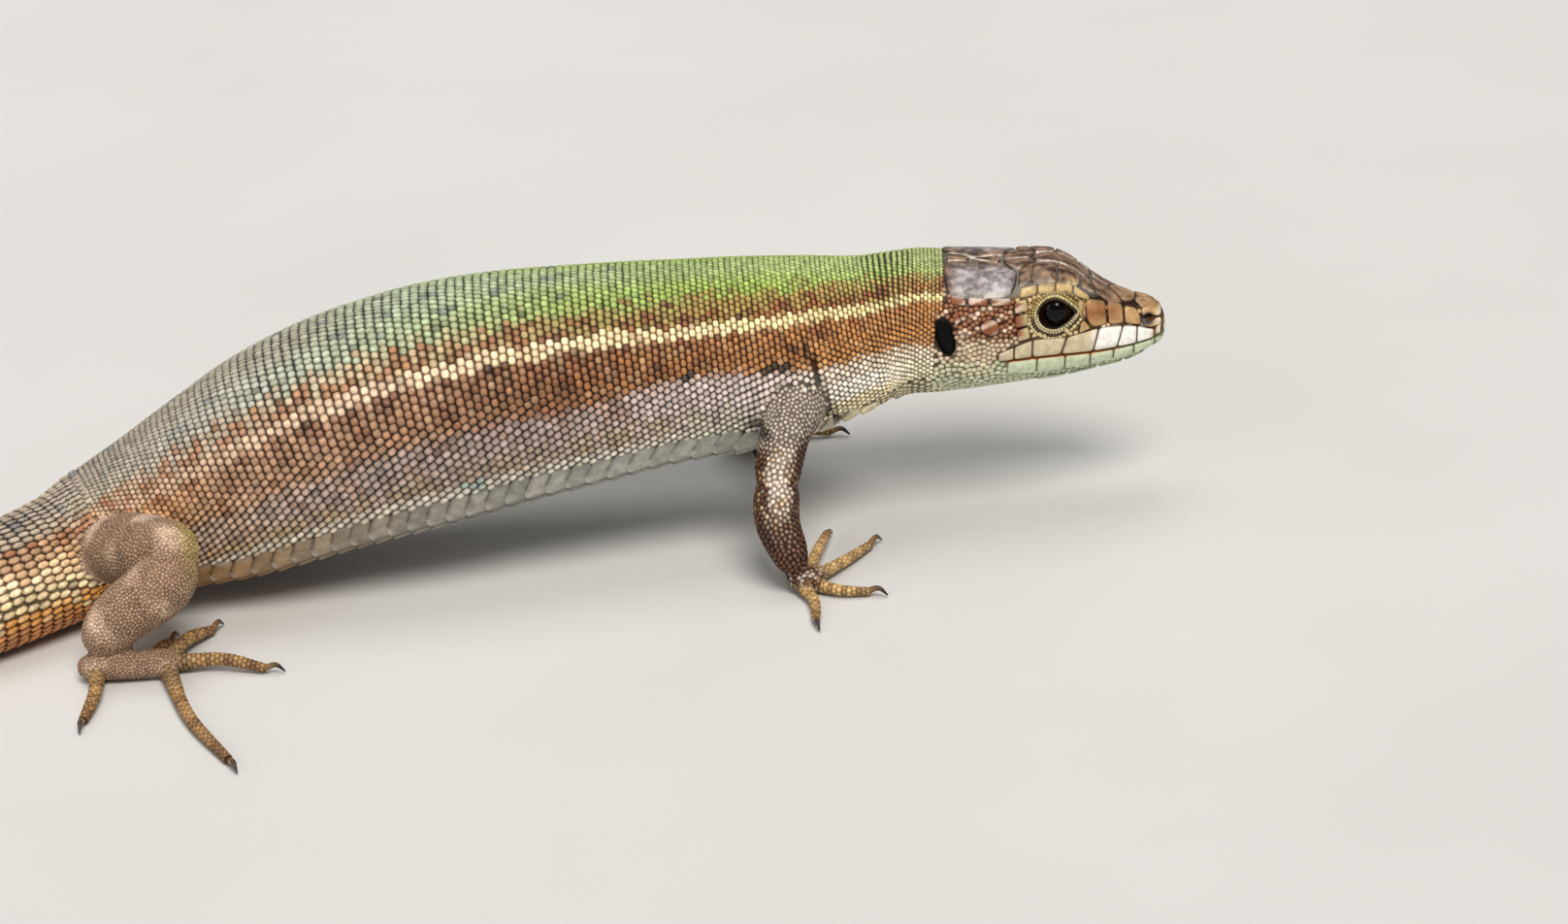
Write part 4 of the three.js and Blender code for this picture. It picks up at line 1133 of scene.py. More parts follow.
def coat_toes(skin_map, material):
    """Six rows of scales round every toe."""
    coat = Coat("toe_scales")
    for index, ((leg, _), limb) in enumerate(toes.items()):
        along, turn, gap = toe_rows(limb, TOE_PITCH)
        centre = np.stack([np.interp(along, limb.arc, line) for line in limb.curve.T], axis=-1)
        roots, lie, out = frames(lambda a, b: limb.point(a, b, -TOE_COAT_DEPTH), along, turn, centre)
        roots, out, kept = skin_map.settle(roots, out)
        kept &= roots[:, 2] > LOWEST_TOE_SCALE
        along, turn, gap, roots, lie, out = keep_only(kept, along, turn, gap, roots, lie, out)
        dyes = toe_pigment(leg, along, draw.random(len(along)))
        scatter(coat, OVAL, roots, lie, out, (0.66 * TOE_PITCH, 0.56 * gap, 0.055), dyes,
                limb_unwrap(index, TOE_TILES, along, turn), tilt=0.16, tone=0.35, shades=SOFT_SHADE)
    coat.build(material)


# ---- the head --------------------------------------------------------------

HALVINGS = 24
MUZZLE_DEPTH = 2.5


def find_turn(like, low, high, is_past):
    """Halves the range of turns until the section's measure there meets its target."""
    low, high = np.full(like.shape, low), np.full(like.shape, high)
    for _ in range(HALVINGS):
        middle = (low + high) / 2
        past = is_past(middle)
        low, high = np.where(past, low, middle), np.where(past, middle, high)
    return (low + high) / 2


def crown(back, side, lift=0):
    row = read_trunk(back)
    turn = find_turn(back, 0, math.pi / 2, lambda t: section(row, back, t, 0)[0] > np.abs(side))
    return trunk_point(back, np.sign(side) * turn, lift)


def under_jaw(back, side, lift=0):
    row = read_trunk(back)
    turn = find_turn(back, math.pi / 2, math.pi, lambda t: section(row, back, t, 0)[0] < np.abs(side))
    return trunk_point(back, np.where(side < 0, -turn, turn), lift)


def cheek(hand):
    def surface(back, up, lift=0):
        row = read_trunk(back)
        turn = find_turn(back, 0, math.pi, lambda t: section(row, back, t, 0)[1] < up - HEAD_MID)
        return trunk_point(back, hand * turn, lift)
    return surface


def muzzle(side, up, lift=0):
    """The blunt front of the snout, by its distance from the midline and over the axis."""
    near, far = np.zeros(side.shape), np.full(side.shape, MUZZLE_DEPTH)
    for _ in range(HALVINGS):
        back = (near + far) / 2
        row = read_trunk(back)
        turn = find_turn(back, 0, math.pi, lambda t: section(row, back, t, 0)[1] < up - HEAD_MID)
        inside = section(row, back, turn, 0)[0] > np.abs(side)
        near, far = np.where(inside, near, back), np.where(inside, back, far)
    front = head_point(back, side, up)
    core = head_point(1.4, 0, 0.4)
    return front + unit(front - core) * np.asarray(lift)[..., None]


def head_place(points):
    """Distance behind the snout, to the right and over the axis of points on the head."""
    arm = points - SNOUT_TIP
    return -arm @ HEAD_AXIS, arm @ HEAD_SIDE, arm @ HEAD_UP


# Outlines over the crown in back and side. Those across the midline give their right half.
MIDDLE_SHIELDS = {
    "frontonasal": [(1.9, 0), (2.05, 0.75), (2.75, 1.2), (3.5, 0.45), (3.7, 0)],
    "frontal": [(4.85, 0), (4.95, 0.88), (6.5, 0.8), (8.25, 0.7), (8.75, 0)],
    "interparietal": [(10.5, 0), (10.8, 0.6), (12.4, 0)],
    "occipital": [(12.5, 0), (12.8, 0.42), (14, 0.6), (14.05, 0)],
}
PAIRED_SHIELDS = {
    "supranasal": [(0.75, 0), (1.9, 0), (2.05, 0.75), (1.6, 1.15), (0.95, 0.8)],
    "prefrontal": [(3.72, 0), (4.82, 0), (4.92, 0.9), (4.5, 1.65), (3.3, 1.65), (2.75, 1.22), (3.52, 0.45)],
    "supraocular_1": [(4.98, 0.92), (5.55, 0.9), (5.55, 1.95), (4.85, 1.75), (4.6, 1.65)],
    "supraocular_2": [(5.6, 0.88), (7.05, 0.84), (7.05, 2.6), (6.1, 2.25), (5.6, 1.98)],
    "supraocular_3": [(7.1, 0.84), (8.4, 0.76), (8.78, 2.95), (8.3, 2.9), (7.1, 2.62)],
    "supraocular_4": [(8.46, 0.85), (9.5, 1.76), (9.58, 3.15), (8.84, 2.96)],
    "frontoparietal": [(8.78, 0), (10.47, 0), (10.42, 0.6), (9.97, 1.5), (9.5, 1.72), (8.5, 0.82),
                       (8.32, 0.7)],
    "parietal": [(10.47, 0.64), (10.85, 0.64), (12.45, 0.06), (12.75, 0.44), (14.05, 0.62), (14.3, 1.6),
                 (14.25, 2.8), (13.95, 3.68), (12, 3.75), (10, 3.55), (9.64, 3.1), (9.56, 1.78), (10, 1.54)],
}
# plates of the lips and cheek in back and up, from bounds that neighbours share
UPPER_LIP = {"bounds": [0.78, 1.84, 2.75, 4.3, 6.35, 8.55, 9.7, 10.7],
             "top": [0.5, 0.85, 1.0, 1.02, 0.62, 0.62, 0.2, -0.2], "slant": 0.35}
LOWER_LIP = {"bounds": [0.76, 2.0, 3.3, 4.8, 6.4, 8.2, 10.1],
             "drop": [0.5, 0.7, 0.85, 0.95, 1.1, 1.2, 0.9]}
MOUTH = {"backs": [-1, 0.2, 1, 2.3, 3.8, 6.9, 9, 10.9],
         "ups": [0.2, 0.06, -0.2, -0.46, -0.6, -0.62, -0.68, -0.87],
         "corner": 10.9, "slit": 0.13, "deep": 0.55}
CHEEK_PLATES = {
    "upper_nasal": [(0.42, 1.22), (0.8, 1.22), (0.95, 1.42), (1.15, 1.5), (1.38, 1.42),
                    (1.5, 1.24), (1.7, 1.78), (0.95, 2.0), (0.45, 1.85)],
    "lower_nasal": [(0.42, 0.72), (0.95, 0.62), (1.5, 0.8), (1.5, 1.16), (1.36, 1.0), (1.15, 0.92),
                    (0.94, 1.0), (0.8, 1.15), (0.42, 1.15)],
    "postnasal": [(1.55, 0.85), (2.65, 1.05), (2.75, 2.1), (1.9, 1.85), (1.6, 1.3)],
    "front_loreal": [(2.72, 1.06), (3.7, 1.1), (3.85, 2.5), (2.82, 2.16)],
    "rear_loreal": [(3.78, 1.1), (4.75, 1.05), (5.15, 1.6), (5.25, 2.88), (3.95, 2.56)],
    "preocular": [(4.85, 1.02), (5.6, 0.75), (5.5, 1.5), (5.25, 1.6)],
    "upper_preocular": [(5.3, 1.7), (5.55, 1.75), (5.85, 2.95), (5.35, 2.8)],
    "lower_postocular": [(8.65, 0.72), (9.5, 0.5), (9.6, 1.3), (8.85, 1.5)],
    "middle_postocular": [(8.9, 1.58), (9.65, 1.4), (9.75, 2.2), (8.85, 2.4)],
    "upper_postocular": [(8.85, 2.5), (9.75, 2.3), (9.8, 3.05), (9, 3.25)],
    "supratemporal_1": [(9.9, 2.85), (11.3, 2.85), (11.35, 3.3), (9.95, 3.3)],
    "supratemporal_2": [(11.4, 2.85), (12.7, 2.85), (12.75, 3.35), (11.45, 3.3)],
    "supratemporal_3": [(12.8, 2.85), (13.8, 2.9), (13.85, 3.4), (12.85, 3.35)],
    "masseteric": [(10.7, 1.1), (11.2, 0.95), (11.8, 1.2), (11.95, 1.7), (11.5, 2.1), (10.9, 2),
                   (10.6, 1.6)],
    "tympanic": [(13.1, 1.9), (13.45, 1.6), (13.7, 2.3), (13.35, 2.6)],
}
BROW_BOUNDS = [4.9, 6.05, 7.2, 8.35, 9.45]
BROW_LOW = [2.6, 3.2, 3.5, 3.5, 3.3]
BROW_HIGH = [2.85, 3.75, 4.02, 4.02, 3.8]
CHIN_SHIELDS = {
    "chin_1": [(1.05, 0.04), (2.55, 0.04), (2.5, 1.05), (1.3, 0.8)],
    "chin_2": [(2.62, 0.04), (4.2, 0.04), (4.15, 1.55), (2.6, 1.12)],
    "chin_3": [(4.28, 0.04), (5.8, 0.35), (6.2, 2.05), (4.25, 1.62)],
    "chin_4": [(5.95, 0.55), (7.9, 1.5), (8.3, 2.7), (6.35, 2.15)],
}
ROSTRAL = [(-1.3, 0.42), (-0.95, 0.9), (-0.5, 1.15), (0, 1.22), (0.5, 1.15), (0.95, 0.9), (1.3, 0.42),
           (1.28, -0.02), (0.6, 0.1), (0, 0.12), (-0.6, 0.1), (-1.28, -0.02)]
MENTAL = [(-1.25, -0.22), (-0.6, -0.08), (0, -0.06), (0.6, -0.08), (1.25, -0.22), (0.85, -0.75), (0, -0.98),
          (-0.85, -0.75)]
EAR = {"back": 14.05, "up": 0.82, "side": 4.6, "wide": 0.64, "tall": 1.3, "deep": 0.95}
EAR_LEAN = 0.22
NOSTRIL = {"back": 1.15, "up": 1.2, "side": 1.25, "radius": 0.26, "deeper": 1.6, "lower": 0.8}
ORBIT_DEPTH = 1.6
SOCKET_RADIUS = 1.5

# a shield's rings from its sunk root up to its crown: share of its reach, lift off the outline
SHIELD_RINGS = [(1, -0.28), (1, -0.04), (0.95, 0.03), (0.82, 0.06), (0.45, 0.075)]
SHIELD_CROWN = 0.08
SEAM = 0.024
# how much of the rim's colour each ring takes
SEAM_SHARES = (1, 1, 0.35, 0, 0)
PLATE_SHARES = (1, 1, 0.9, 0.4, 0)


def smooth_outline(outline, count):
    corners = np.array(outline, float)
    closed = np.vstack((corners, corners[:1]))
    arc = np.concatenate(([0], np.cumsum(np.linalg.norm(np.diff(closed, axis=0), axis=1))))
    places = np.linspace(0, arc[-1], count, endpoint=False)
    points = np.stack([np.interp(places, arc, line) for line in closed.T], axis=-1)
    return (np.roll(points, 1, axis=0) + 2 * points + np.roll(points, -1, axis=0)) / 4


def add_shield(coat, outline, surface, pigments, rims, thick=1.0, slope=0.0, count=36,
               shares=SEAM_SHARES):
    """A plate over a patch of the body. slope raises its edge towards the first coordinate's end."""
    edge = smooth_outline(outline, count)
    middle = edge.mean(axis=0)
    span = np.linalg.norm(edge - middle, axis=1).mean()
    reaches, lifts = np.array(SHIELD_RINGS).T
    rings = [middle + (edge - middle) * (1 - SEAM / span) * reach for reach in reaches]
    flat = np.vstack((*rings, middle))
    lift = np.append(np.repeat(np.where(lifts > 0, lifts * thick, lifts), count), SHIELD_CROWN * thick)
    lift = lift + np.where(lift > -0.2, slope * (flat[:, 0] - middle[0]), 0)
    points = surface(flat[:, 0], flat[:, 1], lift)
    run = np.roll(edge, -1, axis=0) - np.roll(edge, 1, axis=0)
    run = np.abs(run[:, 0]) / np.linalg.norm(run, axis=1)
    run = np.append(np.tile(run, len(SHIELD_RINGS)), 0)
    faces = ring_faces(count, len(SHIELD_RINGS))
    one, two, three = points[faces[-1]]
    base = surface(middle[:1], middle[1:], np.zeros(1))[0]
    if np.dot(np.cross(two - one, three - one), points[-1] - base) < 0:
        faces = faces[:, ::-1]
    dyes = pigments(points, draw.random())
    rim = np.append(np.repeat(shares, count), 0)
    back, side, up = head_place(points[-1])
    spot = np.array((0.02 + (back % 80) / 84, 0.5 + math.atan2(side, up) / 6.6))
    patch = spot + PATCH / 2 * (flat - middle) / (SCALE_REACH * np.abs(flat - middle).max())
    rear = (flat[:, 0] - middle[0]) / np.abs(edge[:, 0] - middle[0]).max()
    coat.add(points, faces, mix(dyes, rims(points, run, rear), rim), patch)
    shield_roots.append((points[:-1:6], dyes[:-1:6]))


def mirrored(outline):
    return [(back, -side) for back, side in outline]


def both_sides(outline):
    return outline, mirrored(outline)


def mouth_up(back):
    return np.interp(back, MOUTH["backs"], MOUTH["ups"])


HEAD_DYES = {name: dye(code) for name, code in {
    "crown": "8e705a", "crown_dark": "342014", "snout": "b08c60", "brow": "ccae78",
    "lilac": "a8a0a2", "loreal": "bc9666", "eye_stripe": "84441e", "nostril": "46464a",
    "lip": "fdf8ee", "rostral": "ecdcbc", "under_eye": "c0ac7c", "jaw": "d2dcba",
    "chin": "ccd6b8", "temple": "8a5030", "temple_pale": "e2c8b4", "jowl": "d4c0a6",
    "suture_crown": "e6dccc", "suture_dark": "32241a", "suture_lip": "6e4e34",
    "suture_chin": "a8662c", "suture_jaw": "98a07c", "suture_temple": "38200f",
}.items()}
CROWN_STREAK = np.array((0.85, 0.3, 0.3))
# under this line the side of the head begins
SIDE_LINE = ([0, 2, 3.4, 4.9, 6, 9.5, 10, 14], [1.75, 1.95, 2.3, 2.75, 3.1, 3.1, 3.25, 3.4])


def head_pigment(points, chance):
    """The head's markings by place, for its shields, its granules and its skin alike."""
    back, side, up = head_place(points)
    wide, dyes = np.abs(side), HEAD_DYES
    mottle = step(ripple(points, CROWN_STREAK) + 0.5 * (chance - 0.5), -0.05, 0.45)
    colour = mix(dyes["crown"], dyes["crown_dark"], 0.9 * mottle)
    colour = mix(colour, dyes["snout"], 0.7 * step(back, 3.6, 1.6))
    parietal = step(wide, 0.9, 1.9) * step(back, 9.5, 9.9) * step(back, 14.1, 13.2)
    colour = mix(colour, dyes["lilac"], parietal * (1 - 0.45 * mottle))
    brow = step(up, 4.12, 3.85) * step(wide, 1.4, 2.3) * step(back, 4.4, 5.4) * step(back, 9.8, 9.4)
    colour = mix(colour, dyes["brow"], brow)
    low = step(up - np.interp(back, *SIDE_LINE), 0.05, -0.15)
    colour = mix(colour, dyes["loreal"], low * step(back, 6.4, 5.6))
    streak = np.exp(-((up - 1.75 - 0.05 * back) / 0.55) ** 2) * step(back, 6.2, 5.4)
    colour = mix(colour, dyes["eye_stripe"], low * streak * step(back, 2.4, 3.6) * 0.8)
    nostril = step(np.hypot((back - 1.2) / 0.52, (up - 1.2) / 0.42), 1.15, 0.7)
    colour = mix(colour, dyes["nostril"], nostril)
    colour = mix(colour, dyes["rostral"], step(back, 0.75, 0.5) * step(up, 1.8, 1.5))
    colour = mix(colour, dyes["rostral"], step(back, 0.75, 0.45) * step(up, 1.3, 1.0))
    eye_ring = step(np.hypot(back - EYE["back"], (up - 2.2) * 1.1), 3.0, 2.3)
    colour = mix(colour, dyes["under_eye"], low * eye_ring * step(back, 5.3, 5.7))
    bars = np.sin(6.5 * up + 3 * back) + 0.5 * ripple(points, 0.8) + 1.4 * (chance - 0.5)
    temple = mix(dyes["temple"], dyes["temple_pale"], 0.8 * step(bars, 0.2, 1.1))
    temple = mix(temple, dyes["jowl"], step(up, 1.1, 0.2) * 0.85)
    colour = mix(colour, temple, low * step(back, 8.9, 9.5))
    top = np.interp(back, UPPER_LIP["bounds"], UPPER_LIP["top"])
    lip = step(up - top, 0.06, -0.02) * step(back, 10.6, 9.8) * step(back, 0.75, 0.95)
    lip_dye = mix(dyes["lip"], dyes["under_eye"], 0.8 * step(back, 4.3, 5))
    colour = mix(colour, lip_dye, lip)
    jaw = step(up - mouth_up(back), 0.02, -0.06)
    jaw_dye = mix(dyes["jaw"], dyes["chin"], step(up, -1.6, -2.4))
    jaw_dye = mix(jaw_dye, dyes["jowl"], 0.55 * step(back, 9.5, 12) * step(up, -2.8, -1.4))
    return mix(colour, jaw_dye, jaw)


def suture_pigment(points, run, *_):
    """The skin between the head's shields: pale along the crown, dark across it and on the lips.

    run says how far a seam runs along the body rather than across it.
    """
    back, _, up = head_place(points)
    dyes = HEAD_DYES
    lengthwise = step(run, 0.7, 0.95) * np.ones(len(points))
    colour = mix(dyes["suture_dark"], dyes["suture_crown"], lengthwise)
    colour = mix(colour, dyes["suture_temple"], step(up, 3.3, 3.0) * step(back, 8.6, 9.2))
    colour = mix(colour, dyes["suture_temple"], step(up, 3.1, 2.7) * step(back, 6.2, 5.4))
    colour = mix(colour, dyes["suture_lip"], step(up, 1.3, 1.1) * step(back, 9.6, 9))
    over_mouth = up - mouth_up(back)
    red = step(over_mouth, -0.35, -0.1) * step(back, 2, 4.5)
    chin = mix(dyes["suture_jaw"], dyes["suture_chin"], red)
    return mix(colour, chin, step(over_mouth, 0.2, 0) * step(back, 11.5, 10))


def add_head_shield(coat, outline, surface, **options):
    add_shield(coat, outline, surface, head_pigment, suture_pigment, **options)


def head_shields(material, lip_material):
    """The crown's shields, then the plates of the snout, chin, lips, cheeks and brows."""
    coat = Coat("head_shields")
    for half in MIDDLE_SHIELDS.values():
        other = [(back, side) for back, side in mirrored(half) if side < 0][::-1]
        add_head_shield(coat, half + other, crown)
    for outline in PAIRED_SHIELDS.values():
        for shape in both_sides(outline):
            add_head_shield(coat, shape, crown)
    coat.build(material)

    coat = Coat("lip_and_cheek_plates")
    add_head_shield(coat, ROSTRAL, muzzle)
    add_head_shield(coat, MENTAL, muzzle, thick=1.5)
    for outline in CHIN_SHIELDS.values():
        for shape in both_sides(outline):
            add_head_shield(coat, shape, under_jaw)
    half_slit = MOUTH["slit"] / 2
    for _, hand in SIDES:
        surface = cheek(hand)
        bounds, top = UPPER_LIP["bounds"], UPPER_LIP["top"]
        for front, back, front_top, back_top in zip(bounds, bounds[1:], top, top[1:]):
            lean = [UPPER_LIP["slant"] * (2 < place < 8) for place in (front, back)]
            add_head_shield(coat, [(front + lean[0], mouth_up(front) + half_slit),
                                   (back + lean[1], mouth_up(back) + half_slit),
                                   (back, back_top), (front, front_top)], surface, thick=1.2)
        bounds, drop = LOWER_LIP["bounds"], LOWER_LIP["drop"]
        for front, back, front_drop, back_drop in zip(bounds, bounds[1:], drop, drop[1:]):
            tops = mouth_up(front) - half_slit, mouth_up(back) - half_slit
            add_head_shield(coat, [(front, tops[0]), (back, tops[1]), (back, tops[1] - back_drop),
                                   (front, tops[0] - front_drop)], surface)
        for outline in CHEEK_PLATES.values():
            add_head_shield(coat, outline, surface, count=24)
        brow = zip(BROW_BOUNDS, BROW_BOUNDS[1:], BROW_LOW, BROW_LOW[1:], BROW_HIGH, BROW_HIGH[1:])
        for front, back, low_1, low_2, high_1, high_2 in brow:
            add_head_shield(coat, [(front, low_1), (back, low_2), (back, high_2), (front, high_1)],
                            surface, thick=1.5, count=24)
    coat.build(lip_material)


def is_inside(outline, a, b):
    """Which points lie inside an outline in the same two coordinates."""
    inside = np.zeros(len(a), bool)
    for (a1, b1), (a2, b2) in zip(outline, outline[1:] + outline[:1]):
        if b1 != b2:
            inside ^= ((b1 > b) != (b2 > b)) & (a < (a2 - a1) * (b - b1) / (b2 - b1) + a1)
    return inside


# over this line the crown's shields cover the head
CROWN_LINE = ([0, 2, 3.4, 5.4, 6, 9.5, 9.8, 14.1], [1.75, 1.8, 2.25, 2.85, 3.4, 3.4, 3.3, 3.4])


def bare_of_shields(points):
    """True where no shield of the crown, lips, cheek or chin covers the head's skin."""
    back, side, up = head_place(points)
    wide = np.abs(side)
    free = np.ones(len(points), bool)
    for outline in CHEEK_PLATES.values():
        free &= ~(is_inside(outline, back, up) & (wide > 1))
    lip_top = np.interp(back, UPPER_LIP["bounds"], UPPER_LIP["top"])
    lip_low = mouth_up(back) - np.interp(back, LOWER_LIP["bounds"], LOWER_LIP["drop"])
    end = np.where(up > mouth_up(back), UPPER_LIP["bounds"][-1], LOWER_LIP["bounds"][-1])
    free &= ~((up < lip_top) & (up > lip_low) & (back < end))
    low, high = (np.interp(back, BROW_BOUNDS, bound) for bound in (BROW_LOW, BROW_HIGH))
    free &= ~((up > low) & (up < high + 0.3) & (back > 5.4) & (back < 9.05))
    for outline in CHIN_SHIELDS.values():
        free &= ~(is_inside(outline, back, wide) & (up < -1))
    free &= ~((up > np.interp(back, *CROWN_LINE)) & (back < 14.15))
    free &= ~((back < 1.3) & (up < 1.9))
    return free & (back < head_end(up))


def head_end(up):
    """How far behind the snout the head's granules reach, less far over the ear."""
    return np.interp(up, [1.9, 2.7], [14.7, 14.3])


# ---- openings, head granules, throat and belly, eyes, ears and claws -------

# a distance to the side that clears the head
CLEAR = 6


def mouth_cutter():
    """A thin wedge that follows the lips round the snout to the corner of the mouth."""
    def place(along, turn):
        back = (MOUTH["corner"] + 1) * along - 1
        reach = np.minimum(1, np.minimum(along, 1 - along) * 1e4)
        up = mouth_up(back) + np.cos(turn) * (MOUTH["slit"] / 2) * reach
        return head_point(back, np.sin(turn) * CLEAR * reach, up)

    cutter = rolled("mouth_cutter", 4, 40, place)
    core = rolled("mouth_core", 64, 90, lambda along, turn:
                  trunk_point(1 + along * 14, turn, -MOUTH["deep"]))
    edit(core, lambda: bpy.ops.mesh.fill_holes(sides=0),
         lambda: bpy.ops.mesh.normals_make_consistent(inside=False))
    combine(cutter, core, "DIFFERENCE")
    return cutter


# the opening of the lids: its half width and half height, how far it is off the eye's middle, and
# how much longer and flatter it is in front
LIDS = {"wide": 1.07, "tall": 0.97, "rise": -0.02, "point": 0.18, "flatter": 0.3}


def lid_outline(turn, spread=0.0):
    """The almond of the lids round the eye: how far behind and over its middle, sharp in front."""
    ahead = np.maximum(0, -np.cos(turn))
    wide = LIDS["wide"] + spread + LIDS["point"] * ahead ** 3
    tall = (LIDS["tall"] + spread) * np.sin(turn)
    return wide * np.cos(turn), LIDS["rise"] + tall * (1 - LIDS["flatter"] * ahead ** 2)


def lid_cutter(side):
    cutter = head_ball("opening", *at_eye(side, ORBIT_DEPTH), (1, ORBIT_DEPTH, 1), 48, 24)
    middle = head_point(*at_eye(side, ORBIT_DEPTH))
    back, across, up = head_place(own_points(cutter) + SNOUT_TIP - middle)
    reach = np.hypot(back, up)
    far, high = lid_outline(np.arctan2(up, back))
    set_points(cutter, metres(head_point(far * reach, across, high * reach) + middle - SNOUT_TIP))
    return cutter


def cut_openings(skin):
    """Eye sockets with their openings, ear cups, nostrils and the line of the mouth."""
    cutters = [mouth_cutter()]
    for _, side in SIDES:
        cutters.append(head_ball("socket", *at_eye(side), (SOCKET_RADIUS,) * 3, 40, 24))
        cutters.append(lid_cutter(side))
        cup = (EAR["wide"], EAR["deep"], EAR["tall"])
        cutters.append(head_ball("cup", EAR["back"], side * EAR["side"], EAR["up"], cup, 40, 24,
                                 EAR_LEAN))
        radius = NOSTRIL["radius"]
        pit = (radius, radius * NOSTRIL["deeper"], radius * NOSTRIL["lower"])
        cutters.append(head_ball("pit", NOSTRIL["back"], side * NOSTRIL["side"], NOSTRIL["up"], pit))
    for cutter in cutters:
        combine(skin, cutter, "DIFFERENCE")


# rings of lid scales: distance from the opening, size, height, colour over and under the eye; the darkest,
# over the eye at the margin and under it 0.4 out, are painted shade at the lids' margin and in a crease
# below the eye
LID_RINGS = [
    (0.07, 0.17, 0.07, "2a1c12", "dccfa6"), (0.22, 0.19, 0.07, "d6c98a", "c9b98c"),
    (0.4, 0.22, 0.05, "a58a4e", "3a281a"), (0.6, 0.25, 0.08, "97783f", "cdbb8a"),
    (0.82, 0.28, 0.06, "8f7038", "5c4428"),
]


def coat_head(skin_map, material):
    """Granules of the temples, cheeks and chin, and the scales of the lids."""
    back, side, up = head_place(skin_map.middles)
    near = (skin_map.face_owners == TRUNK) & (back > 1) & (back < 15) & (up > -3.3)
    near &= (np.abs(side) > 1) | (up < -0.8)
    near &= np.hypot((back - EYE["back"]) / 1.75, (up - EYE["up"]) / 1.5) > 1
    near &= ~in_ear(back, up, -0.35)
    near[near] = bare_of_shields(skin_map.middles[near])
    roots, out, gap = packed_roots(skin_map, np.flatnonzero(near), head_spacing, rounds=8)
    back, side, up = head_place(roots)
    kept = bare_of_shields(roots) & ~in_ear(back, up, 0.04)
    roots, out, gap, back, side, up = keep_only(kept, roots, out, gap, back, side, up)
    lie = in_surface(np.broadcast_to(-HEAD_AXIS, roots.shape), out)
    spots = np.stack((0.01 + back / 17, 0.5 + np.arctan2(side, up) / 6.6), axis=-1)
    dyes = head_pigment(roots, draw.random(len(roots)))
    coat = Coat("head_granules")
    scatter(coat, PEBBLE, roots, lie, out, (0.64 * gap, 0.56 * gap, 0.2 * gap), dyes, spots,
            tilt=0.08, tone=0.35, shades=SOFT_SHADE)
    for _, hand in SIDES:
        add_lid_rings(coat, skin_map, hand)
    coat.build(material)


def in_ear(back, up, margin):
    leaning = back - EAR["back"] - EAR_LEAN * (up - EAR["up"])
    return np.hypot(leaning / (EAR["wide"] + margin), (up - EAR["up"]) / (EAR["tall"] + margin)) < 1


def head_spacing(points):
    _, _, up = head_place(points)
    return np.interp(up, [-3, -1, 0.5, 2.6], [0.36, 0.33, 0.27, 0.29]) + 0.03 * ripple(points, 0.8)


def add_lid_rings(coat, skin_map, hand):
    """Rings of small scales round the opening of the lids."""
    for spread, size, high, over, under in LID_RINGS:
        wide, tall = EYE["wide"] + spread, EYE["tall"] + spread
        count = round(math.pi * (wide + tall) / size)
        turn = np.arange(count) * 2 * math.pi / count
        far, rise = lid_outline(turn, spread)
        starts = head_point(EYE["back"] + far, np.full(count, hand * CLEAR), EYE["up"] + rise)
        roots, out = skin_map.look(starts, -hand * HEAD_SIDE)
        kept = ~np.isnan(roots[:, 0]) & (out @ HEAD_SIDE * hand > 0.1)
        roots, out, turn = keep_only(kept, roots, out, turn)
        sine, cosine = np.sin(turn), np.cos(turn)
        ring = np.outer(-sine * wide, -HEAD_AXIS) + np.outer(cosine * tall, HEAD_UP)
        spots = np.stack((0.9 + 0.03 * cosine, 0.5 + hand * (0.2 + spread / 10) + 0.03 * sine), axis=-1)
        dyes = mix(dye(under), dye(over), step(sine, -0.25, 0.15))
        scatter(coat, OVAL, roots, in_surface(ring, out), out, (0.58 * size, 0.5 * size, high), dyes,
                spots, tone=0.3, shades=SOFT_SHADE)


THROAT_START = 8.4
THROAT_COLUMNS = 9
COLLAR_AT = 19.4
BELLY_START = 20.6
BELLY_END = 71.6
BELLY_PITCH = 1.4
BELLY_COLUMNS = 3
COLUMN_SHIFTS = (0.06, 0.02)
PLATE_TUCK = 0.05
PLATE_TURN = math.radians(112)
# the painted highlight along the rear edges of the belly plates
PLATE_EDGE_HIGHLIGHT = dye("e6e2d6")
COLLAR_TURNS = np.linspace(math.radians(134), math.radians(226), 10)


def throat_edges(at):
    low = np.interp(at, [8, 10, 14, 15, 19, 24], [140, 132, 132, 121, 133, 133])
    return math.radians(low), math.pi


def takes_throat_scales(at, turn):
    return (at > 14.4) | bare_of_shields(skin_point(at, turn))


def coat_throat(skin_map, material):
    rows = granule_rows(THROAT_START, COLLAR_AT, THROAT_COLUMNS, throat_edges, lambda at: 0.85)
    coat = Coat("throat_scales")
    trunk_coat(coat, OVAL, rows, (lambda at: 0.6, 0.54), height=0.16, tilt=0.12, tone=0.12,
               skin_map=skin_map, keep=takes_throat_scales)
    coat.build(material)


def ventral(at, turn, lift=0):
    return skin_point(at, turn, np.asarray(lift) + COAT_DEPTH)


def body_plate_pigment(points, chance):
    at, turn = trunk_place(points)
    turn = np.maximum(np.abs(turn), PLATE_TURN)
    dyes = trunk_pigment(at, turn, points, np.full(len(at), chance))
    return dyes * (0.8 + 0.35 * chance + 0.15 * ripple(points, 0.5))[:, None]


def body_plate_rim(points, run, rear):
    """Painted shade in the seams, and a painted highlight along the rear edge of each plate."""
    dyes = body_plate_pigment(points, 0.5)
    return mix(0.45 * dyes, mix(dyes, PLATE_EDGE_HIGHLIGHT, 0.85), step(rear, 0.3, 0.6) * step(run, 0.9, 0.6))


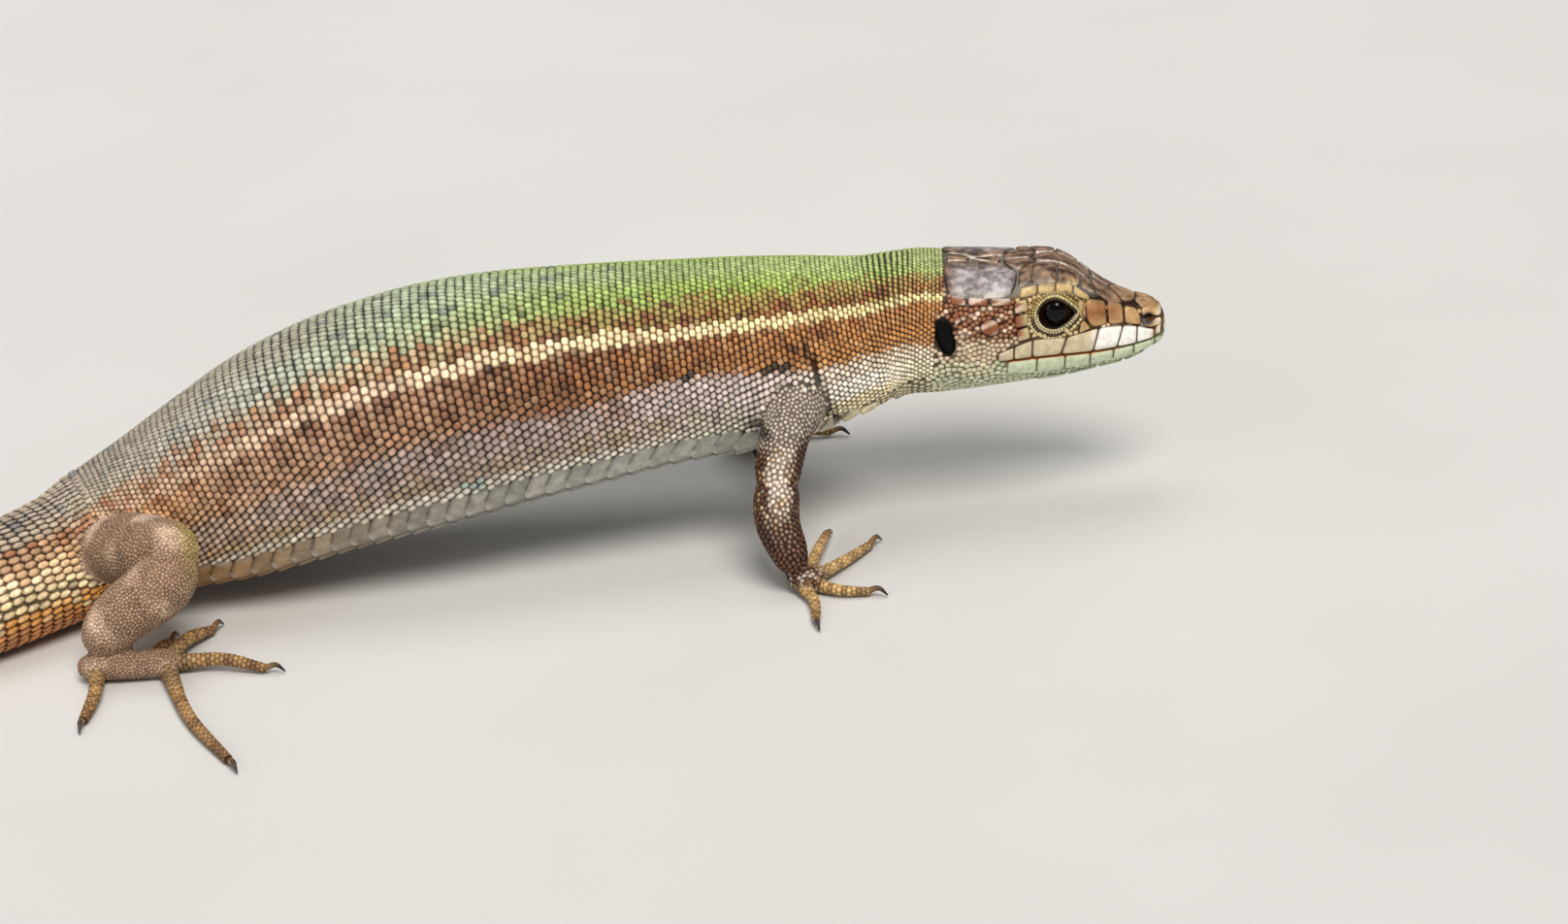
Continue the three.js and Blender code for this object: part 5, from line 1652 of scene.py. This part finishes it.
def trunk_place(points):
    """Distance from the snout and turn of points on the trunk."""
    stations = np.arange(0, TRUNK_LENGTH, 0.4)
    rows = read_trunk(stations)
    nearest = np.argmin(np.linalg.norm(points[:, None] - rows[None, :, :3], axis=-1), axis=1)
    row = rows[nearest]
    arm = points - row[:, :3]
    side = -arm[:, 0] * np.sin(row[:, 3]) - arm[:, 1] * np.cos(row[:, 3])
    return stations[nearest], np.arctan2(side, arm[:, 2])


def add_body_plate(coat, outline, **options):
    add_shield(coat, outline, ventral, body_plate_pigment, body_plate_rim, **options)


def coat_belly(material):
    """Six long rows of overlapping plates, the collar before them and the plate before the vent."""
    coat = Coat("belly_plates")
    at = BELLY_START
    while at < BELLY_END:
        edge = flank_edges(at)[1] - PLATE_TUCK
        steps = np.linspace(edge, math.pi, BELLY_COLUMNS + 1)
        steps[1:-1] += COLUMN_SHIFTS
        pitch = BELLY_PITCH * np.interp(at, [20, 30, 60, 72], [0.85, 1, 1, 0.85])
        for low, high in zip(steps, steps[1:]):
            ahead = 0.5 * pitch * (low == edge)
            outline = [(at - ahead, low), (at + 0.98 * pitch - ahead, low),
                       (at + 1.16 * pitch, 0.5 * low + 0.5 * high), (at + 1.14 * pitch, high), (at, high)]
            for shape in both_sides(outline):
                add_body_plate(coat, shape, thick=0.7, slope=0.1, count=26, shares=PLATE_SHARES)
        at += pitch
    for low, high in zip(COLLAR_TURNS, COLLAR_TURNS[1:]):
        add_body_plate(coat, [(COLLAR_AT - 0.2, low), (COLLAR_AT + 0.95, low),
                              (COLLAR_AT + 1.15, (low + high) / 2),
                              (COLLAR_AT + 0.95, high), (COLLAR_AT - 0.2, high)],
                       thick=1.2, slope=0.1, count=18)
    vent = [(BELLY_END - 0.3, math.radians(t)) for t in (155, 180, 205)]
    vent += [(BELLY_END + 1.3, math.radians(t)) for t in (210, 180, 150)]
    add_body_plate(coat, vent, thick=1.1, slope=0.05)
    coat.build(material)


IRIS_RADIUS = 0.95
PUPIL_RADIUS = 0.72
CORNEA_BULGE = 0.09
IRIS_DYE, RAY_DYE = dye("4a2c16"), dye("1c0f08")
PUPIL_DYE, EYE_RIM_DYE = dye("010101"), dye("120b07")


def dress(piece, material):
    piece.data.materials.clear()
    piece.data.materials.append(material)


def build_eyes(material):
    """Each eye's ball with its cornea, and the iris with its rays painted round the pupil."""
    radius = EYE["radius"]
    for name, side in SIDES:
        ball = head_ball(f"eyeball_{name}", *at_eye(side), (radius,) * 3, 48, 32)
        centre = head_point(*at_eye(side))
        arm = own_points(ball) - centre
        facing = arm @ (side * HEAD_SIDE) / radius
        bulge = 1 + CORNEA_BULGE * step(facing, 0.72, 0.95)
        set_points(ball, metres(centre + arm * bulge[:, None]))
        reach = np.sqrt(np.maximum(0, 1 - facing ** 2)) * radius
        reach = np.where(facing > 0, reach, math.inf)
        turn = np.arctan2(arm @ HEAD_UP, arm @ HEAD_AXIS)
        rays = 0.5 + 0.5 * np.sin(17 * turn + 3 * np.sin(5 * turn))
        iris = mix(IRIS_DYE, RAY_DYE, 0.7 * rays * step(reach, 0.6, IRIS_RADIUS))
        colour = mix(PUPIL_DYE, iris, step(reach, PUPIL_RADIUS - 0.03, PUPIL_RADIUS + 0.03))
        colour = mix(colour, EYE_RIM_DYE, step(reach, IRIS_RADIUS, IRIS_RADIUS + 0.1))
        paint(ball.data, colour)
        dress(ball, material)
        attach(ball, "root")
        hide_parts(f"eye_{name}")


# the eardrum: how far outside the bottom of the cup, its half thickness, and how much smaller it is
DRUM = {"raised": 0.45, "thick": 0.26, "narrower": 0.08, "shorter": 0.1}
# the eardrum is painted near black, as shade at the bottom of the ear cup
DRUM_SHADOW = dye("060504")


def build_ears(material):
    radii = (EAR["wide"] - DRUM["narrower"], DRUM["thick"], EAR["tall"] - DRUM["shorter"])
    for name, side in SIDES:
        across = side * (EAR["side"] - EAR["deep"] + DRUM["raised"])
        drum = head_ball(f"eardrum_{name}", EAR["back"], across, EAR["up"], radii, 32, 20, EAR_LEAN)
        paint(drum.data, np.broadcast_to(DRUM_SHADOW, (len(drum.data.vertices), 3)))
        dress(drum, material)
        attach(drum, "root")
        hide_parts(f"ear_{name}")


CLAW_ROOT_DYE, CLAW_TIP_DYE = dye("8a6a42"), dye("2b1d14")


def build_claws(material):
    for (leg, number), limb in claws.items():
        claw = rolled(f"{leg}_claw_{number}", 16, 20, limb.point)
        along = np.linalg.norm(own_points(claw) - limb.curve[0], axis=1) / limb.length
        paint(claw.data, mix(CLAW_ROOT_DYE, CLAW_TIP_DYE, step(along, 0.25, 0.75)))
        dress(claw, material)
        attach(claw, "root")


# ---- finishes --------------------------------------------------------------

def new_effect(name, inputs, outputs):
    """A node group with named inputs, given with their values, and named outputs."""
    tree = bpy.data.node_groups.new(name, "ShaderNodeTree")
    for label, value in inputs.items():
        kind = "NodeSocketColor" if isinstance(value, tuple) else "NodeSocketFloat"
        tree.interface.new_socket(label, in_out="INPUT", socket_type=kind).default_value = value
    for label, kind in outputs.items():
        tree.interface.new_socket(label, in_out="OUTPUT", socket_type=kind)
    return tree, tree.nodes.new("NodeGroupInput"), tree.nodes.new("NodeGroupOutput")


def feed(tree, socket, value):
    """Links a socket's output into another, or sets it to a number or colour."""
    if isinstance(value, bpy.types.NodeSocket):
        tree.links.new(value, socket)
    else:
        socket.default_value = value


def noise_on_body(tree, size, detail=3.0):
    """Noise over the body's own coordinates. size is a socket or a number of features to the metre."""
    place = tree.nodes.new("ShaderNodeTexCoord")
    noise = tree.nodes.new("ShaderNodeTexNoise")
    noise.inputs["Detail"].default_value = detail
    tree.links.new(place.outputs["Object"], noise.inputs["Vector"])
    feed(tree, noise.inputs["Scale"], size)
    return noise.outputs["Fac"]


def spread_value(tree, value, low, high, start=0.3, end=0.7):
    """Stretches a noise's middle over low to high, each a socket or a number."""
    node = tree.nodes.new("ShaderNodeMapRange")
    tree.links.new(value, node.inputs["Value"])
    node.inputs["From Min"].default_value = start
    node.inputs["From Max"].default_value = end
    feed(tree, node.inputs["To Min"], low)
    feed(tree, node.inputs["To Max"], high)
    return node.outputs["Result"]


def mix_colours(tree, blend, share, first, second):
    node = tree.nodes.new("ShaderNodeMix")
    node.data_type, node.blend_type = "RGBA", blend
    for label, value in (("Factor", share), ("A", first), ("B", second)):
        feed(tree, next(s for s in node.inputs if s.name == label and s.enabled), value)
    return next(s for s in node.outputs if s.enabled)


def build_horn_grain():
    """Clouds and pores of horn: darkens the pigment in flecks and gives the height of its grain."""
    tree, given, result = new_effect(
        "horn grain", {"Pigment": (0.5, 0.5, 0.5, 1), "Fleck size": 2500.0, "Fleck depth": 0.5,
                       "Grain size": 12000.0},
        {"Colour": "NodeSocketColor", "Height": "NodeSocketFloat"})
    clouds = noise_on_body(tree, given.outputs["Fleck size"])
    flecks = spread_value(tree, clouds, 0.2, 1.35, 0.36, 0.64)
    grain = noise_on_body(tree, given.outputs["Grain size"], 2.0)
    fine = spread_value(tree, grain, 0.8, 1.15)
    shade = tree.nodes.new("ShaderNodeMath")
    shade.operation = "MULTIPLY"
    tree.links.new(flecks, shade.inputs[0])
    tree.links.new(fine, shade.inputs[1])
    colour = mix_colours(tree, "MULTIPLY", given.outputs["Fleck depth"], given.outputs["Pigment"],
                         shade.outputs[0])
    tree.links.new(colour, result.inputs["Colour"])
    tree.links.new(grain, result.inputs["Height"])
    return tree


def build_worn_gloss():
    """Roughness that wanders between a worn and a fresh value."""
    tree, given, result = new_effect(
        "worn gloss", {"Fresh": 0.3, "Worn": 0.5, "Patch size": 900.0}, {"Roughness": "NodeSocketFloat"})
    patches = noise_on_body(tree, given.outputs["Patch size"], 2.0)
    rough = spread_value(tree, patches, given.outputs["Fresh"], given.outputs["Worn"])
    tree.links.new(rough, result.inputs["Roughness"])
    return tree


def build_creases():
    """Fine wrinkles of bare skin: a net of lines that darken as painted shade, and their height."""
    tree, given, result = new_effect(
        "skin creases", {"Crease size": 4000.0}, {"Crease shade": "NodeSocketFloat", "Height": "NodeSocketFloat"})
    place = tree.nodes.new("ShaderNodeTexCoord")
    net = tree.nodes.new("ShaderNodeTexVoronoi")
    net.feature = "DISTANCE_TO_EDGE"
    tree.links.new(place.outputs["Object"], net.inputs["Vector"])
    tree.links.new(given.outputs["Crease size"], net.inputs["Scale"])
    lines = spread_value(tree, net.outputs["Distance"], 0.55, 1.0, 0.0, 0.12)
    tree.links.new(lines, result.inputs["Crease shade"])
    tree.links.new(net.outputs["Distance"], result.inputs["Height"])
    return tree


HORN_GRAIN, WORN_GLOSS, CREASES = build_horn_grain(), build_worn_gloss(), build_creases()


def place_effect(tree, effect, **values):
    node = tree.nodes.new("ShaderNodeGroup")
    node.node_tree = effect
    for label, value in values.items():
        feed(tree, node.inputs[label.replace("_", " ").capitalize()], value)
    return node


def new_finish(name, specular=0.35, **values):
    material = bpy.data.materials.new(name)
    material.use_nodes = True
    tree = material.node_tree
    shader = tree.nodes["Principled BSDF"]
    shader.inputs["Specular IOR Level"].default_value = specular
    for label, value in values.items():
        shader.inputs[label.replace("_", " ").title()].default_value = value
    pigment = tree.nodes.new("ShaderNodeAttribute")
    pigment.attribute_name = "pigment"
    return material, tree, shader, pigment.outputs["Color"]


BUMP_STRENGTH = 0.6


def raise_bump(tree, shader, height, distance):
    bump = tree.nodes.new("ShaderNodeBump")
    bump.inputs["Strength"].default_value = BUMP_STRENGTH
    bump.inputs["Distance"].default_value = distance * MM
    tree.links.new(height, bump.inputs["Height"])
    tree.links.new(bump.outputs["Normal"], shader.inputs["Normal"])


def connect(tree, shader, colour, fresh, worn):
    """Gives a finish its colour and a roughness that wanders from fresh to worn."""
    gloss = place_effect(tree, WORN_GLOSS, fresh=fresh, worn=worn)
    tree.links.new(colour, shader.inputs["Base Color"])
    tree.links.new(gloss.outputs["Roughness"], shader.inputs["Roughness"])


# each horny finish: flecks to the metre, their depth, gloss when fresh and worn, height of the grain
HORN_FINISHES = {
    "body scale": (3200.0, 0.35, 0.34, 0.55, 0.012),
    "tail scale": (3000.0, 0.4, 0.34, 0.55, 0.016),
    "leg scale": (3400.0, 0.35, 0.4, 0.6, 0.012),
    "toe scale": (4200.0, 0.3, 0.42, 0.6, 0.01),
    "throat scale": (3600.0, 0.3, 0.34, 0.5, 0.01),
    "head granule": (4200.0, 0.35, 0.36, 0.55, 0.01),
    "head shield": (2300.0, 0.7, 0.32, 0.52, 0.016),
    "lip plate": (2600.0, 0.22, 0.32, 0.5, 0.014),
    "belly plate": (1900.0, 0.3, 0.3, 0.46, 0.012),
    "claw horn": (3000.0, 0.5, 0.22, 0.4, 0.01),
}


def horn_finish(name, specular=0.35, grain_size=12000.0):
    """Horn with flecks, worn in patches."""
    fleck_size, fleck_depth, fresh, worn, high = HORN_FINISHES[name]
    material, tree, shader, pigment = new_finish(name, specular)
    grain = place_effect(tree, HORN_GRAIN, pigment=pigment, fleck_size=fleck_size,
                         fleck_depth=fleck_depth, grain_size=grain_size)
    connect(tree, shader, grain.outputs["Colour"], fresh, worn)
    raise_bump(tree, shader, grain.outputs["Height"], high)
    return material


def creased_finish(name, specular, crease_size, fresh, worn, high, flecked=False):
    """Dull skin in fine wrinkles, painted darker in them as shade, which can be flecked as well."""
    material, tree, shader, colour = new_finish(name, specular)
    if flecked:
        grain = place_effect(tree, HORN_GRAIN, pigment=colour, fleck_size=1600.0, fleck_depth=0.35)
        colour = grain.outputs["Colour"]
    creases = place_effect(tree, CREASES, crease_size=crease_size)
    # painted shade in the wrinkles
    colour = mix_colours(tree, "MULTIPLY", 1.0, colour, creases.outputs["Crease shade"])
    connect(tree, shader, colour, fresh, worn)
    raise_bump(tree, shader, creases.outputs["Height"], high)
    return material


def eye_finish():
    """A wet eye: flecked iris under a clear, glossy cornea."""
    material, tree, shader, pigment = new_finish(
        "wet eye", specular=0.1, coat_weight=0.2, coat_roughness=0.03)
    flecks = spread_value(tree, noise_on_body(tree, 7000.0), 0.6, 1.4)
    colour = mix_colours(tree, "MULTIPLY", 1.0, pigment, flecks)
    connect(tree, shader, colour, fresh=0.05, worn=0.12)
    return material


FLOOR_LIGHT, FLOOR_DARK = (0.6, 0.59, 0.57, 1), (0.57, 0.56, 0.54, 1)


def floor_finish():
    material = bpy.data.materials.new("pale floor")
    material.use_nodes = True
    tree = material.node_tree
    shader = tree.nodes["Principled BSDF"]
    shade = spread_value(tree, noise_on_body(tree, 30.0), 0.0, 1.0)
    colour = mix_colours(tree, "MIX", shade, FLOOR_DARK, FLOOR_LIGHT)
    tree.links.new(colour, shader.inputs["Base Color"])
    shader.inputs["Roughness"].default_value = 0.8
    return material


# ---- the whole animal ------------------------------------------------------

FLESH = ["head", "neck", "torso", "hips", "tail_1", "tail_2", "tail_3", "tail_4"]
FLESH += [f"{leg}_{length}" for leg, length in leg_lengths] + [f"{leg}_toe_{n}" for leg, n in toes]
# the skin between scales, darkened as painted shade: its share of their brightness on the body and head, and
# how much deeper
GAP_SHADE = 0.2
HEAD_GAP_SHADE = 0.45
GAP_DEPTH = 1.25
# the run given to the seams between the head's shields, and their painted shade
SKIN_SEAM_RUN = 0.8
SEAM_SHADE = 0.7
HEAD_SKIN_END = 14.1
CUP_EDGE = 4.3
# painted shadow on the inner edge of the lids' opening
LID_EDGE_SHADOW = dye("20140c")
# painted shadow in the ear cup
CUP_SHADOW = dye("0c0806")


def paint_skin(skin):
    """Colours the skin like the scales over it, darker as painted shade between them, with the seams of the
    head's shields in painted shade as well, and painted shadow in the ear cups and inside the lids.
    """
    roots = np.vstack([roots for roots, _ in coat_roots + shield_roots])
    dyes = np.vstack([dyes for _, dyes in coat_roots + shield_roots])
    tree = search_tree(roots)
    points = own_points(skin)
    nearest = [tree.find(point)[1] for point in points]
    # the skin is painted darker than its scales, as shade between them
    colour = dyes[nearest] ** GAP_DEPTH * GAP_SHADE
    back, side, up = head_place(points)
    head = (back < HEAD_SKIN_END) & (points[:, 0] > 8)
    granular = bare_of_shields(points)
    shielded = head & ~granular
    colour[shielded] = SEAM_SHADE * suture_pigment(points[shielded], SKIN_SEAM_RUN)
    colour[head & granular] *= HEAD_GAP_SHADE / GAP_SHADE
    # painted shadow in the ear cup
    colour[in_ear(back, up, 0.04) & (np.abs(side) < CUP_EDGE)] = CUP_SHADOW
    # painted shadow on the inner edge of the lids' opening
    far, high = lid_outline(np.arctan2(up - EYE["up"], back - EYE["back"]), 0.02)
    lid_shadow = np.hypot(back - EYE["back"], up - EYE["up"]) < np.hypot(far, high)
    colour[lid_shadow & head] = LID_EDGE_SHADOW
    paint(skin.data, colour)


def finish_skin(skin):
    paint_skin(skin)
    dress(skin, creased_finish("bare skin", 0.2, 4200.0, 0.55, 0.75, 0.03, flecked=True))
    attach(skin, "root")
    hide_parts(*FLESH)


skin = build_skin()
skin_map = SkinMap(skin)
coat_body(skin_map, horn_finish("body scale"))
coat_tail(skin_map, horn_finish("tail scale"))
coat_legs(skin_map, horn_finish("leg scale"))
coat_toes(skin_map, horn_finish("toe scale"))
head_shields(horn_finish("head shield"), horn_finish("lip plate"))
coat_head(skin_map, horn_finish("head granule"))
coat_throat(skin_map, horn_finish("throat scale"))
coat_belly(horn_finish("belly plate"))
cut_openings(skin)
finish_skin(skin)
build_eyes(eye_finish())
build_ears(creased_finish("eardrum skin", 0.12, 2600.0, 0.3, 0.5, 0.02))
build_claws(horn_finish("claw horn", specular=0.4, grain_size=16000.0))


# ---- stage -----------------------------------------------------------------

FLOOR_SIZE = 3


def build_stage():
    bpy.ops.mesh.primitive_plane_add(size=FLOOR_SIZE, location=(0, 0, 0))
    floor = bpy.context.object
    floor.name = "floor"
    floor.data.materials.append(floor_finish())


CAMERA_HEIGHT_ANGLE = math.radians(24)
CAMERA_ROLL = math.radians(6)
CAMERA_DISTANCE = 330
CAMERA_TARGET = np.array((0, 0, 4.1))
FRAME_WIDTH = 101
SENSOR_WIDTH = 36


def place_camera():
    looking = np.array((0, math.cos(CAMERA_HEIGHT_ANGLE), -math.sin(CAMERA_HEIGHT_ANGLE)))
    level = np.array((1, 0, 0))
    upright = np.cross(level, looking)
    right = math.cos(CAMERA_ROLL) * level - math.sin(CAMERA_ROLL) * upright
    up = math.sin(CAMERA_ROLL) * level + math.cos(CAMERA_ROLL) * upright
    place = metres(CAMERA_TARGET - looking * CAMERA_DISTANCE)
    turned = Matrix((right, up, -looking)).transposed().to_4x4()
    bpy.ops.object.camera_add()
    camera = bpy.context.object
    camera.name = "camera"
    camera.matrix_world = Matrix.Translation(Vector(place)) @ turned
    camera.data.sensor_width = SENSOR_WIDTH
    camera.data.lens = SENSOR_WIDTH * CAMERA_DISTANCE / FRAME_WIDTH
    camera.data.clip_start = 0.01
    bpy.context.scene.camera = camera


# name, kind, place in millimetres, size or angle, power, colour
LAMPS = [
    ("key", "SUN", (60, -220, 340), math.radians(28), 2.75, (1, 0.97, 0.92)),
    ("fill", "AREA", (-700, -600, 500), 600, 2.3, (0.92, 0.96, 1)),
    ("top", "AREA", (-60, 200, 800), 450, 2.0, (1, 1, 1)),
]
LAMP_AIM = (-10, -4, 7)
WORLD_GREY = 0.26


def light_stage():
    for name, kind, place, size, power, colour in LAMPS:
        bpy.ops.object.light_add(type=kind, location=metres(place))
        lamp = bpy.context.object
        lamp.name = name
        if kind == "SUN":
            lamp.data.angle = size
        else:
            lamp.data.size = size * MM
        lamp.data.energy = power
        lamp.data.color = colour
        aim = Vector(metres(LAMP_AIM)) - lamp.location
        lamp.rotation_euler = aim.to_track_quat("-Z", "Y").to_euler()
    world = bpy.data.worlds.new("studio")
    world.use_nodes = True
    world.node_tree.nodes["Background"].inputs["Color"].default_value = (WORLD_GREY,) * 3 + (1,)
    bpy.context.scene.world = world


build_stage()
place_camera()
light_stage()
bpy.context.scene.view_settings.view_transform = "Standard"
